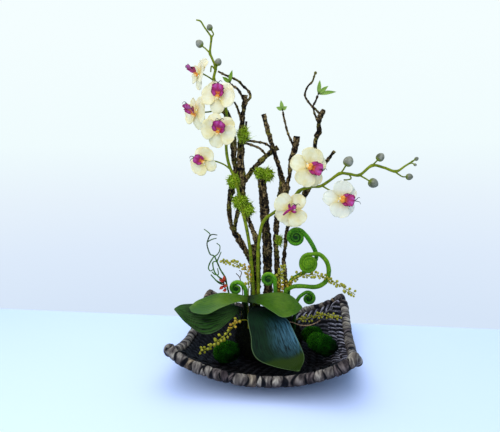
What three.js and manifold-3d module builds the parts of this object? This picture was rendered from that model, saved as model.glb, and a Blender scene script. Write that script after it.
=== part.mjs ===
// Ikebana arrangement in a woven tray: orchid spikes, bare branches, fern crosiers and berry sprays.
// Millimetres, +Z up. The origin is on the table under the middle of the tray, and -Y faces the viewer.
import * as THREE from 'three';
import { mergeVertices } from 'three/addons/utils/BufferGeometryUtils.js';
import Module from 'manifold-3d';

const wasm = await Module();
wasm.setup();

// Clear space between pieces that touch, and around stems in their holes
const gap = 0.3;

// Tray: a square woven dish whose corners rise
const trayHalf = 178;
const traySquareness = 14;
const traySideHeight = 34;
const trayCornerHeight = 85;
const trayCornerSharpness = 2.2;
const trayFlatShare = 0.4;
const trayWallCurve = 1.6;
const trayWall = 9;
const ropeRows = 7;
const ropeRelief = 1.6;
const rimRadius = 12.5;
const rimGroove = 9.5;
const rimLumps = 46;

// Filling: a round foam block under a mound of moss
const foamCentre = [-5, 20];
const foamRadius = 58;
const foamBottom = 10.6;
const foamTop = 62;
const moundRadius = 76;
const moundTop = 90;

// Orchid blooms
const petalThickness = 0.9;
const hubRadius = 5.2;
const hubHalfDepth = 3.4;

const colours = {
  weave: 0x4a443f,
  rim: 0x6b625b,
  foam: 0x3f6b3a,
  moss: 0x2c3d17,
  stone: 0x1e4a1c,
  leafBright: 0x4f8a2a,
  leafDark: 0x1d4a22,
  leafTeal: 0x1f4a44,
  spike: 0x6f7d22,
  petal: 0xf2e8bd,
  lip: 0xa61e6e,
  bark: 0x3a2c20,
  barkMossy: 0x3c3a1c,
  clump: 0x86b52a,
  crosierDark: 0x2f6b1c,
  crosierLime: 0x6fae1e,
  berry: 0xb7b03a,
  tuft: 0x7da050,
  tendril: 0x5e6f52,
  redLeaf: 0x9c3323,
  vine: 0x8a6a45,
};

// Repeatable random numbers between 0 and 1
function seeded(seed) {
  let state = seed * 7919 + 17;
  return () => {
    state = (state * 16807) % 2147483647;
    return state / 2147483647;
  };
}

function toVector(point) {
  return new THREE.Vector3(point[0], point[1], point[2]);
}

// A closed geometry from plain lists of points and triangles
function closedGeometry(points, triangles) {
  const geometry = new THREE.BufferGeometry();
  geometry.setAttribute('position', new THREE.Float32BufferAttribute(points.flat(), 3));
  geometry.setIndex(triangles.flat());
  return geometry;
}

// A three.js geometry as a solid that can be joined and cut
function toSolid(geometry) {
  const bare = geometry.clone();
  bare.deleteAttribute('normal');
  bare.deleteAttribute('uv');
  const merged = mergeVertices(bare, 1e-4);
  const vertProperties = new Float32Array(merged.attributes.position.array);
  const triVerts = new Uint32Array(merged.index.array);
  return new wasm.Manifold(new wasm.Mesh({ numProp: 3, vertProperties, triVerts }));
}

function toGeometry(solid) {
  const mesh = solid.getMesh();
  const geometry = new THREE.BufferGeometry();
  geometry.setAttribute('position', new THREE.Float32BufferAttribute(mesh.vertProperties, 3));
  geometry.setIndex(new THREE.Uint32BufferAttribute(mesh.triVerts, 1));
  geometry.computeVertexNormals();
  return geometry;
}

function join(solids) {
  return solids.reduce((whole, next) => whole.add(next));
}

function cut(solid, tools) {
  return tools.reduce((rest, tool) => rest.subtract(tool), solid);
}

// Points [x, y, z, radius] on a smooth line through the given ones, with some steps in each stretch
function smoothLine(line, steps) {
  const curve = new THREE.CatmullRomCurve3(line.map(toVector), false, 'centripetal');
  const last = line.length - 1;
  const points = [];
  for (let i = 0; i <= last * steps; i += 1) {
    const at = curve.getPoint(i / (last * steps));
    const k = Math.min(Math.floor(i / steps), last - 1);
    const radius = THREE.MathUtils.lerp(line[k][3], line[k + 1][3], i / steps - k);
    points.push([at.x, at.y, at.z, radius]);
  }
  return points;
}

// A tube of changing radius along points [x, y, z, radius]; knobbly roughens it, pad makes it fatter
function tube(line, sides, { pad = 0, knobbly = 0, seed = 1, closed = false, facing = null } = {}) {
  const random = seeded(seed);
  const count = line.length;
  const points = [];
  const triangles = [];
  const centres = line.map(toVector);
  const across = new THREE.Vector3();
  centres.forEach((centre, i) => {
    const before = centres[closed ? (i + count - 1) % count : Math.max(i - 1, 0)];
    const after = centres[closed ? (i + 1) % count : Math.min(i + 1, count - 1)];
    const tangent = new THREE.Vector3().subVectors(after, before).normalize();
    if (facing) {
      across.copy(facing[i]);
    } else if (i === 0) {
      across.set(Math.abs(tangent.x) > 0.7 ? 0 : 1, Math.abs(tangent.x) > 0.7 ? 1 : 0, 0);
    }
    across.addScaledVector(tangent, -across.dot(tangent)).normalize();
    const third = new THREE.Vector3().crossVectors(tangent, across);
    for (let k = 0; k < sides; k += 1) {
      const angle = (2 * Math.PI * k) / sides;
      const radius = line[i][3] * (1 + knobbly * (random() - 0.5)) + pad;
      const point = centre.clone();
      point.addScaledVector(across, radius * Math.cos(angle));
      point.addScaledVector(third, radius * Math.sin(angle));
      points.push(point.toArray());
    }
  });
  const rings = closed ? count : count - 1;
  for (let i = 0; i < rings; i += 1) {
    for (let k = 0; k < sides; k += 1) {
      const a = i * sides + k;
      const b = i * sides + ((k + 1) % sides);
      const c = ((i + 1) % count) * sides + k;
      const d = ((i + 1) % count) * sides + ((k + 1) % sides);
      triangles.push([a, b, d], [a, d, c]);
    }
  }
  if (!closed) {
    const end = (count - 1) * sides;
    for (let k = 1; k < sides - 1; k += 1) {
      triangles.push([0, k + 1, k], [end, end + k, end + k + 1]);
    }
  }
  return toSolid(closedGeometry(points, triangles));
}

// A thin blade: pointAt(u, v) gives its middle surface, and both faces are split alike
function blade(pointAt, us, vs, thickness) {
  const points = [];
  const triangles = [];
  const step = 1e-3;
  const width = vs.length;
  const half = us.length * width;
  const upper = [];
  const lower = [];
  us.forEach((u) => {
    vs.forEach((v) => {
      const middle = pointAt(u, v);
      const along = pointAt(u + step, v).sub(pointAt(u - step, v));
      const across = pointAt(u, v + step).sub(pointAt(u, v - step));
      const normal = along.cross(across).normalize().multiplyScalar(thickness / 2);
      upper.push(middle.clone().add(normal).toArray());
      lower.push(middle.clone().sub(normal).toArray());
    });
  });
  points.push(...upper, ...lower);
  const at = (i, j) => i * width + j;
  for (let i = 0; i < us.length - 1; i += 1) {
    for (let j = 0; j < width - 1; j += 1) {
      const [a, b, c, d] = [at(i, j), at(i + 1, j), at(i + 1, j + 1), at(i, j + 1)];
      triangles.push([a, b, c], [a, c, d]);
      triangles.push([half + a, half + c, half + b], [half + a, half + d, half + c]);
    }
  }
  const border = [];
  for (let i = 0; i < us.length - 1; i += 1) border.push(at(i, 0));
  for (let j = 0; j < width - 1; j += 1) border.push(at(us.length - 1, j));
  for (let i = us.length - 1; i > 0; i -= 1) border.push(at(i, width - 1));
  for (let j = width - 1; j > 0; j -= 1) border.push(at(0, j));
  border.forEach((a, k) => {
    const b = border[(k + 1) % border.length];
    triangles.push([a, half + a, b], [b, half + a, half + b]);
  });
  return toSolid(closedGeometry(points, triangles));
}

// Blades that share a hub. Arms go round in the order of their angles, each a middle surface pointAt(u, v)
// whose root row (u = 0) lies on the hub; front and back are the hub's middle points. An arm's tails are
// thin curls that grow out of its tip, each a list of [middle, half thickness].
function star(arms, front, back, thickness) {
  const points = [front.toArray(), back.toArray()];
  const triangles = [];
  const add = (point) => points.push(point.toArray()) - 1;
  const wall = (a, b) => triangles.push([a[0], a[1], b[0]], [b[0], a[1], b[1]]);
  const rows = arms.map(({ pointAt, us, vs, tails = [] }) => {
    // each grid point is a pair of vertices, one on each face
    const grid = us.map((u) => vs.map((v) => {
      const step = 1e-3;
      const along = pointAt(u + step, v).sub(pointAt(u - step, v));
      const across = pointAt(u, v + step).sub(pointAt(u, v - step));
      const normal = along.cross(across).normalize().multiplyScalar(thickness / 2);
      return [add(pointAt(u, v).add(normal)), add(pointAt(u, v).sub(normal))];
    }));
    const lastU = us.length - 1;
    const lastV = vs.length - 1;
    for (let i = 0; i < lastU; i += 1) {
      for (let j = 0; j < lastV; j += 1) {
        const [a, b, c, d] = [grid[i][j], grid[i + 1][j], grid[i + 1][j + 1], grid[i][j + 1]];
        triangles.push([a[0], b[0], c[0]], [a[0], c[0], d[0]], [a[1], c[1], b[1]], [a[1], d[1], c[1]]);
      }
      wall(grid[i][0], grid[i + 1][0]);
      wall(grid[i + 1][lastV], grid[i][lastV]);
    }
    for (let j = 0; j < lastV; j += 1) {
      const [a, b] = [grid[lastU][j], grid[lastU][j + 1]];
      if (!tails[j]) {
        wall(a, b);
        continue;
      }
      const across = toVector(points[b[0]]).sub(toVector(points[a[0]])).normalize();
      const root = toVector(points[a[0]]).add(toVector(points[b[1]])).multiplyScalar(0.5);
      const path = [root, ...tails[j].map(([middle]) => middle)];
      let ring = [a[0], a[1], b[1], b[0]];
      tails[j].forEach(([middle, half], k) => {
        const ahead = path[Math.min(k + 2, path.length - 1)].clone().sub(path[k]);
        const up = ahead.cross(across).normalize();
        const corners = [[-half, half], [-half, -half], [half, -half], [half, half]];
        const next = corners.map(([x, y]) => add(middle.clone().addScaledVector(across, x).addScaledVector(up, y)));
        for (let side = 0; side < 4; side += 1) {
          const after = (side + 1) % 4;
          triangles.push([ring[side], ring[after], next[after]], [ring[side], next[after], next[side]]);
        }
        ring = next;
      });
      triangles.push([ring[0], ring[1], ring[2]], [ring[0], ring[2], ring[3]]);
    }
    return grid[0];
  });
  rows.forEach((row, k) => {
    const next = rows[(k + 1) % rows.length];
    const around = [...row, next[0]];
    for (let j = 0; j < around.length - 1; j += 1) {
      triangles.push([0, around[j][0], around[j + 1][0]], [1, around[j + 1][1], around[j][1]]);
    }
    wall(row[row.length - 1], next[0]);
  });
  return toSolid(closedGeometry(points, triangles));
}

// An egg shape with a lumpy skin, leaning by tilt and then turned about Z, both in degrees
function lumpyBall(centre, radii, { around = 8, down = 5, lumps = 0, seed = 1, tilt = 0, turn = 0 } = {}) {
  const random = seeded(seed);
  const geometry = new THREE.SphereGeometry(1, around, down);
  geometry.deleteAttribute('normal');
  geometry.deleteAttribute('uv');
  const merged = mergeVertices(geometry, 1e-4);
  const position = merged.attributes.position;
  for (let i = 0; i < position.count; i += 1) {
    const stretch = 1 + lumps * (random() - 0.5);
    // the sphere's poles lie on Y, and this turns them to Z
    const [x, y, z] = [position.getX(i), position.getY(i), position.getZ(i)];
    position.setXYZ(i, x * radii[0] * stretch, -z * radii[1] * stretch, y * radii[2] * stretch);
  }
  merged.rotateY(THREE.MathUtils.degToRad(-tilt));
  merged.rotateZ(THREE.MathUtils.degToRad(turn));
  merged.translate(centre[0], centre[1], centre[2]);
  return toSolid(merged);
}

// Tray

// How square the outline is at a share of the way from the middle to the rim
function squareness(share) {
  return 2.4 + (traySquareness - 2.4) * share * share;
}

// Side and place along it (-1 to 1, closer together towards the corners) of a turn from 0 to 4
function sidePlace(turn) {
  const side = Math.floor(turn) % 4;
  const straight = 2 * (turn - Math.floor(turn)) - 1;
  return [side, straight * (1.25 - 0.25 * straight * straight)];
}

function rimHeight(along) {
  const rise = trayCornerHeight - traySideHeight;
  return traySideHeight + rise * Math.abs(along) ** trayCornerSharpness;
}

function wallRise(share) {
  return Math.max(0, (share - trayFlatShare) / (1 - trayFlatShare)) ** trayWallCurve;
}

// The middle of the tray's wall
function trayMiddle(share, turn) {
  const [side, along] = sidePlace(turn);
  const power = squareness(share);
  const reach = (share * trayHalf) / (1 + Math.abs(along) ** power) ** (1 / power);
  const point = new THREE.Vector3(reach * along, -reach, 0);
  point.applyAxisAngle(new THREE.Vector3(0, 0, 1), (side * Math.PI) / 2);
  point.z = trayWall / 2 + (rimHeight(along) - trayWall / 2) * wallRise(share);
  return point;
}

// The wall's direction across, pointing into the tray
function trayNormal(share, turn) {
  const step = 0.004;
  const out = trayMiddle(share + step, turn).sub(trayMiddle(share - step, turn));
  const along = trayMiddle(share, (turn + step) % 4).sub(trayMiddle(share, (turn - step + 4) % 4));
  return out.cross(along).normalize();
}

// Places round the tray where its wall and its rim bend
const trayTurns = Array.from({ length: 32 }, (unused, i) => i / 8);

function rimDistance(point) {
  const distances = trayTurns.map((turn, k) => {
    const stretch = new THREE.Line3(trayMiddle(1, turn), trayMiddle(1, trayTurns[(k + 1) % trayTurns.length]));
    return stretch.closestPointToPoint(point, true, new THREE.Vector3()).distanceTo(point);
  });
  return Math.min(...distances);
}

// Where the wall stops short of the rim
function wallEnd(turn) {
  const clear = rimRadius + 1.5 * gap;
  let low = 0.7;
  let high = 1;
  for (let i = 0; i < 20; i += 1) {
    const share = (low + high) / 2;
    if (rimDistance(trayMiddle(share, turn)) > clear) low = share;
    else high = share;
  }
  return low;
}

// Height of the tray's inside above the table, with its ropes
function floorHeight(x, y) {
  const reach = Math.max(Math.abs(x), Math.abs(y), 1);
  const along = Math.min(Math.abs(x), Math.abs(y)) / reach;
  let share = reach / trayHalf;
  for (let i = 0; i < 5; i += 1) {
    const power = squareness(share);
    share = (reach / trayHalf) * (1 + along ** power) ** (1 / power);
  }
  const rise = rimHeight(along) - trayWall / 2;
  const slope = (rise * (wallRise(share + 0.01) - wallRise(share - 0.01))) / 0.02 / (reach / share);
  return trayWall / 2 + rise * wallRise(share) + (trayWall / 2 + ropeRelief) * Math.hypot(1, slope);
}

function trayWeave() {
  const turns = trayTurns;
  const ends = turns.map(wallEnd);
  const flat = { share: trayFlatShare, relief: 0 };
  // a ridge for each rope and a groove between ropes, on both sides, from the second rope on
  const steps = ropeRows * 2;
  const rows = [flat];
  for (let i = 3; i <= steps; i += 1) rows.push({ part: i / steps, relief: i % 2 === 1 ? 1 : -1 });
  const points = [[0, 0, 0], [0, 0, trayWall]];
  const triangles = [];
  [-1, 1].forEach((side) => {
    rows.forEach((row) => {
      turns.forEach((turn, k) => {
        const share = row.share ?? trayFlatShare + (ends[k] - trayFlatShare) * row.part;
        const fade = THREE.MathUtils.clamp((share - 0.44) / 0.16, 0, 1);
        const offset = trayWall / 2 + row.relief * ropeRelief * fade;
        const point = trayMiddle(share, turn);
        point.addScaledVector(trayNormal(share, turn), side * offset);
        if (share < 0.46) point.z = side < 0 ? 0 : Math.max(point.z, trayWall);
        points.push(point.toArray());
      });
    });
  });
  const count = turns.length;
  const under = (row, k) => 2 + row * count + (k % count);
  const over = (row, k) => under(rows.length + row, k);
  const last = rows.length - 1;
  for (let k = 0; k < count; k += 1) {
    triangles.push([0, under(0, k + 1), under(0, k)], [1, over(0, k), over(0, k + 1)]);
    for (let row = 0; row < last; row += 1) {
      const [a, b, c, d] = [under(row, k), under(row, k + 1), under(row + 1, k + 1), under(row + 1, k)];
      const [e, f, g, h] = [over(row, k), over(row, k + 1), over(row + 1, k + 1), over(row + 1, k)];
      triangles.push([a, b, c], [a, c, d], [e, g, f], [e, h, g]);
    }
    const [a, b, c, d] = [under(last, k), under(last, k + 1), over(last, k), over(last, k + 1)];
    triangles.push([a, b, d], [a, d, c]);
  }
  return toSolid(closedGeometry(points, triangles));
}

// The wrapped rim: lumps of two widths with grooves between them
function trayRim() {
  const rimLine = new THREE.CurvePath();
  const wallLine = new THREE.CurvePath();
  trayTurns.forEach((turn, k) => {
    const next = trayTurns[(k + 1) % trayTurns.length];
    rimLine.add(new THREE.LineCurve3(trayMiddle(1, turn), trayMiddle(1, next)));
    wallLine.add(new THREE.LineCurve3(trayMiddle(wallEnd(turn), turn), trayMiddle(wallEnd(next), next)));
  });
  const lengths = [0, ...rimLine.getCurveLengths()];
  const whole = lengths[lengths.length - 1];
  const line = [];
  const facing = [];
  const stations = [[0, rimRadius], [0.3, rimGroove], [0.48, rimRadius - 1], [0.7, rimGroove]];
  for (let i = 0; i < rimLumps / 2; i += 1) {
    stations.forEach(([part, radius]) => {
      const reached = ((i + part) / (rimLumps / 2)) * whole;
      const k = lengths.findIndex((length) => length > reached) - 1;
      const share = (reached - lengths[k]) / (lengths[k + 1] - lengths[k]);
      const centre = rimLine.curves[k].getPoint(share);
      line.push([centre.x, centre.y, centre.z, radius]);
      facing.push(wallLine.curves[k].getPoint(share).sub(centre).normalize());
    });
  }
  return tube(line, 6, { closed: true, facing });
}

// Branches, as lines of [x, y, z, radius]

const leftBranch = {
  main: [[-31, 36, 34, 8], [-30, 36, 124, 8.2], [-28, 36, 204, 8], [-28, 36, 243, 6.5], [-34, 35, 269, 5.5],
    [-42, 35, 289, 5.2], [-50, 36, 311, 5.2], [-58, 36, 338, 6.2], [-61, 36, 367, 7.5], [-63, 36, 407, 8.5],
    [-63, 35, 438, 7], [-62, 34, 466, 6.2], [-60, 33, 494, 5.6], [-57, 32, 524, 5], [-53, 30, 551, 5],
    [-50, 28, 572, 5.8]],
  fork: [[-63, 37, 376, 5.5], [-44, 42, 404, 5.2], [-26, 45, 425, 5.2], [-9, 47, 441, 5.2], [6, 48, 452, 5.2],
    [19, 48, 460, 4.8]],
  second: [[-27, 40, 138, 5.5], [-30, 44, 160, 6], [-37, 46, 188, 6], [-48, 47, 213, 6.3], [-62, 47, 238, 6.3],
    [-74, 46, 260, 6], [-84, 45, 276, 5], [-90, 44, 299, 4.4], [-92, 43, 328, 4.4], [-89, 42, 351, 6],
    [-85, 41, 369, 7], [-82, 40, 390, 5.5], [-76, 38, 412, 5], [-79, 36, 440, 5.5], [-78, 34, 471, 6],
    [-80, 32, 499, 5], [-89, 30, 527, 6.5], [-99, 28, 544, 6.5]],
  twin: [[-81, 45.5, 266, 4.6], [-77, 43, 294, 4.3], [-72, 40, 318, 4.3], [-60, 37, 338, 4.3]],
  stump: [[-33, 26, 40, 6.5], [-35, 24, 128, 7], [-35, 24, 193, 7], [-34, 24, 246, 7]],
};

const leftTwigs = [
  [[-52, 29, 560, 2.8], [-64, 20, 582, 2.3], [-74, 16, 589, 2.1], [-78, 14, 593, 2.1]],
  [[-51, 30, 556, 2.8], [-41, 34, 566, 2.4], [-41, 36, 575, 2.4], [-47, 38, 584, 2.3], [-57, 38, 593, 2.3],
    [-65, 37, 602, 2.3], [-80, 35, 610, 2.1], [-95, 32, 616, 2], [-109, 28, 623, 2]],
  [[-58, 32, 510, 2.6], [-67, 30, 543, 2.3], [-74, 27, 558, 1.9]],
  [[-60, 33, 486, 2.6], [-52, 38, 503, 2.3], [-50, 40, 517, 1.9]],
  [[-61, 35, 478, 2.7], [-40, 44, 475, 2.4], [-28, 47, 473, 2.4], [-12, 49, 470, 2.4], [1, 50, 462, 2.4],
    [8, 48, 452, 2.7]],
  [[-62, 35, 474, 2.7], [-33, 38, 464, 2.3], [-19, 40, 457, 2.3], [-5, 47, 441, 2.6]],
];

const post = [[-4, 42, 34, 10], [-4, 42, 123, 10], [-5, 42, 203, 10], [-6, 42, 254, 9.6], [-10, 42, 295, 9.6],
  [-12, 42, 336, 9.6], [-15, 42, 365, 9.2], [-17, 42, 391, 9.2]];

const forkedStick = {
  low: [[19, 60, 34, 6], [18, 60, 123, 6], [15, 60, 199, 6], [13, 58, 251, 5.6], [15, 55, 294, 5.4],
    [22, 50, 333, 5.6], [31, 44, 369, 10], [30, 42, 378, 8]],
  left: [[31, 44, 366, 6], [27, 40, 394, 5.5], [22, 36, 415, 4.6], [15, 33, 438, 4.5], [6, 31, 469, 4.5],
    [-3, 30, 499, 4.6], [-11, 28, 531, 4.8]],
  right: [[31, 44, 368, 6], [42, 46, 389, 4.5], [45, 47, 415, 4], [49, 46, 439, 5], [57, 44, 461, 6],
    [60, 43, 484, 6.2]],
  twig: [[57, 44, 456, 2.8], [44, 40, 482, 2.3], [38, 38, 499, 2.2], [35, 36, 512, 2], [32, 35, 524, 2],
    [30, 34, 536, 1.8]],
};

const rightBranch = {
  main: [[38, 42, 34, 5], [37, 42, 130, 5], [35, 42, 176, 5], [32, 42, 207, 4.6], [34, 42, 234, 4.2],
    [37, 41, 258, 4], [42, 40, 289, 4], [61, 36, 323, 4], [76, 32, 353, 5], [85, 29, 377, 7], [92, 27, 415, 5],
    [99, 25, 458, 4.6], [101, 25, 476, 4.6], [107, 25, 493, 5.6], [106, 24, 509, 4.2], [110, 23, 524, 5],
    [116, 22, 537, 4.3]],
  cutOff: [[85, 29, 380, 4.5], [104, 36, 404, 3.6], [120, 40, 424, 3.5], [141, 44, 451, 3.7]],
  twigA: [[107, 24, 508, 2.6], [97, 22, 529, 2], [94, 20, 540, 1.9], [83, 18, 554, 1.9], [77, 16, 565, 1.9],
    [79, 15, 576, 1.8], [84, 14, 585, 1.8], [92, 14, 593, 1.8], [97, 14, 608, 1.7]],
  twigB: [[112, 23, 524, 2.4], [99, 17, 537, 2], [94, 14, 543, 1.9], [99, 12, 553, 1.8], [103, 11, 564, 1.8]],
  endBud: { centre: [98, 14, 609.5], radius: 3.2 },
};

const barkRough = { knobbly: 0.3 };

function leftBranchSolid(pad) {
  const stems = Object.values(leftBranch).map((line, i) => tube(line, 5, { ...barkRough, seed: 11 + i, pad }));
  const twigs = leftTwigs.map((line, i) => tube(line, 3, { knobbly: 0.2, seed: 21 + i, pad }));
  return join([...stems, ...twigs]);
}

function postSolid(pad) {
  const line = smoothLine(post, 2);
  // the padded copy also reaches past the post's top
  line[line.length - 1][2] += pad;
  return tube(line, 7, { knobbly: 0.12, seed: 31, pad });
}

function forkedStickSolid(pad) {
  const { low, left, right, twig } = forkedStick;
  const limbs = [low, left, right].map((line, i) => tube(line, 6, { ...barkRough, seed: 41 + i, pad }));
  return join([...limbs, tube(twig, 3, { knobbly: 0.2, seed: 45, pad })]);
}

function rightBranchSolid(pad) {
  const { main, cutOff, twigA, twigB, endBud } = rightBranch;
  const limbs = [main, cutOff].map((line, i) => tube(line, 6, { ...barkRough, seed: 51 + i, pad }));
  const twigs = [twigA, twigB].map((line, i) => tube(line, 3, { knobbly: 0.2, seed: 55 + i, pad }));
  const bud = lumpyBall(endBud.centre, Array(3).fill(endBud.radius + pad), { around: 6, down: 4 });
  return join([...limbs, ...twigs, bud]);
}

// Orchid spikes

const spikeLeft = {
  stem: [[-33, 8, 34, 4], [-33, 8, 133, 4], [-38, 8, 219, 3.8], [-43, 9, 259, 3.7], [-48, 10, 288, 3.6],
    [-54, 12, 314, 3.6], [-60, 14, 338, 3.6], [-66, 14, 368, 3.5], [-73, 13, 395, 3.5], [-83, 11, 419, 3.4],
    [-88, 8, 442, 3.3], [-89, 5, 468, 3.2], [-86, 2, 507, 3.1], [-88, 0, 546, 3], [-99, -2, 575, 2.9],
    [-111, -4, 600, 2.8], [-107, -5, 623, 2.7], [-114, -6, 643, 2.4], [-118, -6, 653, 2.3],
    [-116, -7, 667, 2.2], [-114, -8, 683, 2.1], [-118, -8, 690, 1.9], [-128, -9, 704, 1.7],
    [-135, -10, 715, 1.7], [-144, -11, 718, 1.3]],
  hooks: [[[-108, -5, 620, 1.8], [-115, -6, 627, 1.5], [-117, -7, 615, 1.4]]],
  buds: [
    { stalk: [[-114, -8, 682, 1.8], [-109.5, -8, 689, 1.5], [-112, -8, 695, 1.5], [-117, -8, 703]], radius: 5.8 },
    { stalk: [[-117, -6, 652, 1.8], [-127, -8, 662, 1.5], [-131, -8, 665, 1.5], [-139, -9, 672]], radius: 7.4 },
    { stalk: [[-108, -5, 620, 1.8], [-104, -4, 627, 1.6], [-101, -4, 635]], radius: 6.8 },
  ],
};

const spikeRight = {
  stem: [[-22, 8, 34, 4], [-22, 8, 134, 4], [-23, 8, 200, 3.8], [-22, 7, 240, 3.7], [-19, 6, 264, 3.6],
    [-14, 4, 292, 3.6], [-4, 2, 309, 3.5], [11, 1, 320, 3.5], [30, 1, 334, 3.4], [52, 2, 352, 3.4],
    [66, 3, 367, 3.4], [77, 4, 373, 3.3], [94, 4, 377, 3.2], [111, 4, 378, 3.2], [130, 4, 390, 3],
    [150, 4, 404, 3], [169, 3, 403, 2.9], [190, 2, 401, 2.8], [214, 1, 420, 2.7], [237, 0, 416, 2.6],
    [261, -1, 408, 2.5], [279, -2, 419, 2.1], [294, -3, 429, 1.7]],
  hooks: [[[168, 3, 404, 1.8], [173, 3, 394, 1.5], [165, 3, 391, 1.4], [158, 3, 391, 1.4]]],
  buds: [
    { stalk: [[151, 4, 403, 2], [157, 4, 412, 1.7], [160, 4, 417, 1.7], [167, 4, 429]], radius: 9.8 },
    { stalk: [[213, 1, 418, 2], [219, 1, 425, 1.6], [223, 1, 429, 1.6], [230, 1, 437]], radius: 8 },
    { stalk: [[189, 2, 401, 2], [203, 2, 393, 1.6], [209, 2, 389, 1.6], [218, 2, 384]], radius: 9.4 },
    { stalk: [[260, -1, 407, 1.8], [273, -1, 398, 1.4], [280, -1, 397, 1.4], [288, -1, 397]], radius: 6.4 },
    { stalk: [[291, -3, 427, 2.2], [295, -3, 430, 1.6], [300, -3, 433]], radius: 3.8 },
    { stalk: [[285, -2, 423, 1.4], [292, -3, 424, 1], [298, -3, 421]], radius: 2.8 },
  ],
};

// Blooms. Yaw turns a bloom to the right of the viewer, pitch lifts it and roll turns it in its own plane.
// Angles are those of the top sepal, the two broad petals and the two low sepals before the roll.
const blooms = [
  { name: 'bloom_left_1', centre: [-140, -10, 613], yaw: -68, pitch: 8, roll: 175, size: 32, lip: 1.45,
    stalk: [[-110, -4, 597, 1.9], [-121, -2, 605, 1.6]] },
  { name: 'bloom_left_2', centre: [-99, -19, 564], yaw: 0, pitch: 8, roll: 172, size: 35,
    stalk: [[-97, -1, 571, 1.9]] },
  { name: 'bloom_left_3', centre: [-153, 7, 535], yaw: -42, pitch: -5, roll: 178, size: 34,
    stalk: [[-88, 0, 544, 1.9], [-104, 8, 541, 1.6], [-124, 13, 537, 1.6]] },
  { name: 'bloom_left_4', centre: [-98, -27, 494], yaw: 2, pitch: -8, roll: 163, size: 36,
    stalk: [[-86, 2, 507, 1.9], [-92, 0, 505, 1.7]] },
  { name: 'bloom_left_5', centre: [-139, 0, 432], yaw: -6, pitch: 0, roll: 240, size: 31,
    stalk: [[-84, 11, 416, 2], [-97, 11, 425, 1.7], [-117, 10, 432, 1.6]] },
  { name: 'bloom_right_1', centre: [87, -12, 417], yaw: 22, pitch: 6, roll: 68, size: 41,
    stalk: [[92, 4, 377, 1.9], [86, 3, 396, 1.6], [80, 0, 410, 1.6]] },
  { name: 'bloom_right_2', centre: [50, -20, 331], yaw: -10, pitch: -6, roll: 130, size: 38,
    angles: [85, 5, 180, 278, 132], slim: 0.45, stalk: [[50, 2, 350, 1.9], [50, -2, 344, 1.7]] },
  { name: 'bloom_right_3', centre: [153, -12, 352], yaw: 20, pitch: 4, roll: 80, size: 38,
    stalk: [[115, 4, 378, 2], [127, 2, 371, 1.7], [143, -1, 363, 1.6]] },
];
const usualAngles = [90, 5, 175, 230, 310];

// Turns a point in the bloom's own axes (x across, y up, z out of the face) into place
function bloomPlace({ centre, yaw, pitch, roll }) {
  const out = new THREE.Vector3(0, -1, 0);
  out.applyAxisAngle(new THREE.Vector3(1, 0, 0), THREE.MathUtils.degToRad(-pitch));
  out.applyAxisAngle(new THREE.Vector3(0, 0, 1), THREE.MathUtils.degToRad(yaw));
  const right = new THREE.Vector3(0, 0, 1).cross(out).normalize();
  const up = new THREE.Vector3().crossVectors(out, right);
  const turned = new THREE.Matrix4().makeRotationZ(THREE.MathUtils.degToRad(roll));
  const place = new THREE.Matrix4().makeBasis(right, up, out);
  return place.setPosition(...centre).multiply(turned);
}

// Share of its full width that a petal has at u from its root to its tip
function petalOutline(u) {
  const fromWidest = (u - 0.56) / 0.46;
  const round = Math.sqrt(Math.max(0, 1 - Math.min(1, fromWidest * fromWidest)));
  return Math.max(round, u < 0.5 ? 0.1 : 0.16);
}

// A petal's or sepal's middle surface, set outward from the hub at an angle
function petalArm(place, angle, { length, width, lift, bend, cup, us }) {
  const turn = THREE.MathUtils.degToRad(angle);
  const pointAt = (u, v) => {
    const along = hubRadius + (length - hubRadius) * u;
    const across = (v * width * petalOutline(u)) / 2;
    const z = lift + bend * u * u + cup * v * v * Math.sin(Math.PI * THREE.MathUtils.clamp(u, 0, 1));
    const x = along * Math.cos(turn) - across * Math.sin(turn);
    const y = along * Math.sin(turn) + across * Math.cos(turn);
    return new THREE.Vector3(x, y, z).applyMatrix4(place);
  };
  return { pointAt, us, vs: [-1, 0, 1] };
}

function bloomPetals(bloom) {
  const place = bloomPlace(bloom);
  const { size } = bloom;
  const sepal = { length: size, width: size * 0.72, lift: -1.9, bend: -3, cup: 1, us: [0, 0.24, 0.62, 0.88, 1] };
  const broad = { length: size, width: size * 1.04, lift: 1.4, bend: 3, cup: 2.4,
    us: [0, 0.2, 0.52, 0.8, 1] };
  const angles = bloom.angles ?? usualAngles;
  const kinds = angles.map((angle, i) => ({ angle, kind: i === 1 || i === 2 ? broad : sepal }));
  kinds.sort((a, b) => a.angle - b.angle);
  const front = new THREE.Vector3(0, 0, hubHalfDepth).applyMatrix4(place);
  const back = new THREE.Vector3(0, 0, -hubHalfDepth).applyMatrix4(place);
  return star(kinds.map(({ angle, kind }) => petalArm(place, angle, kind)), front, back, petalThickness);
}

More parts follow.
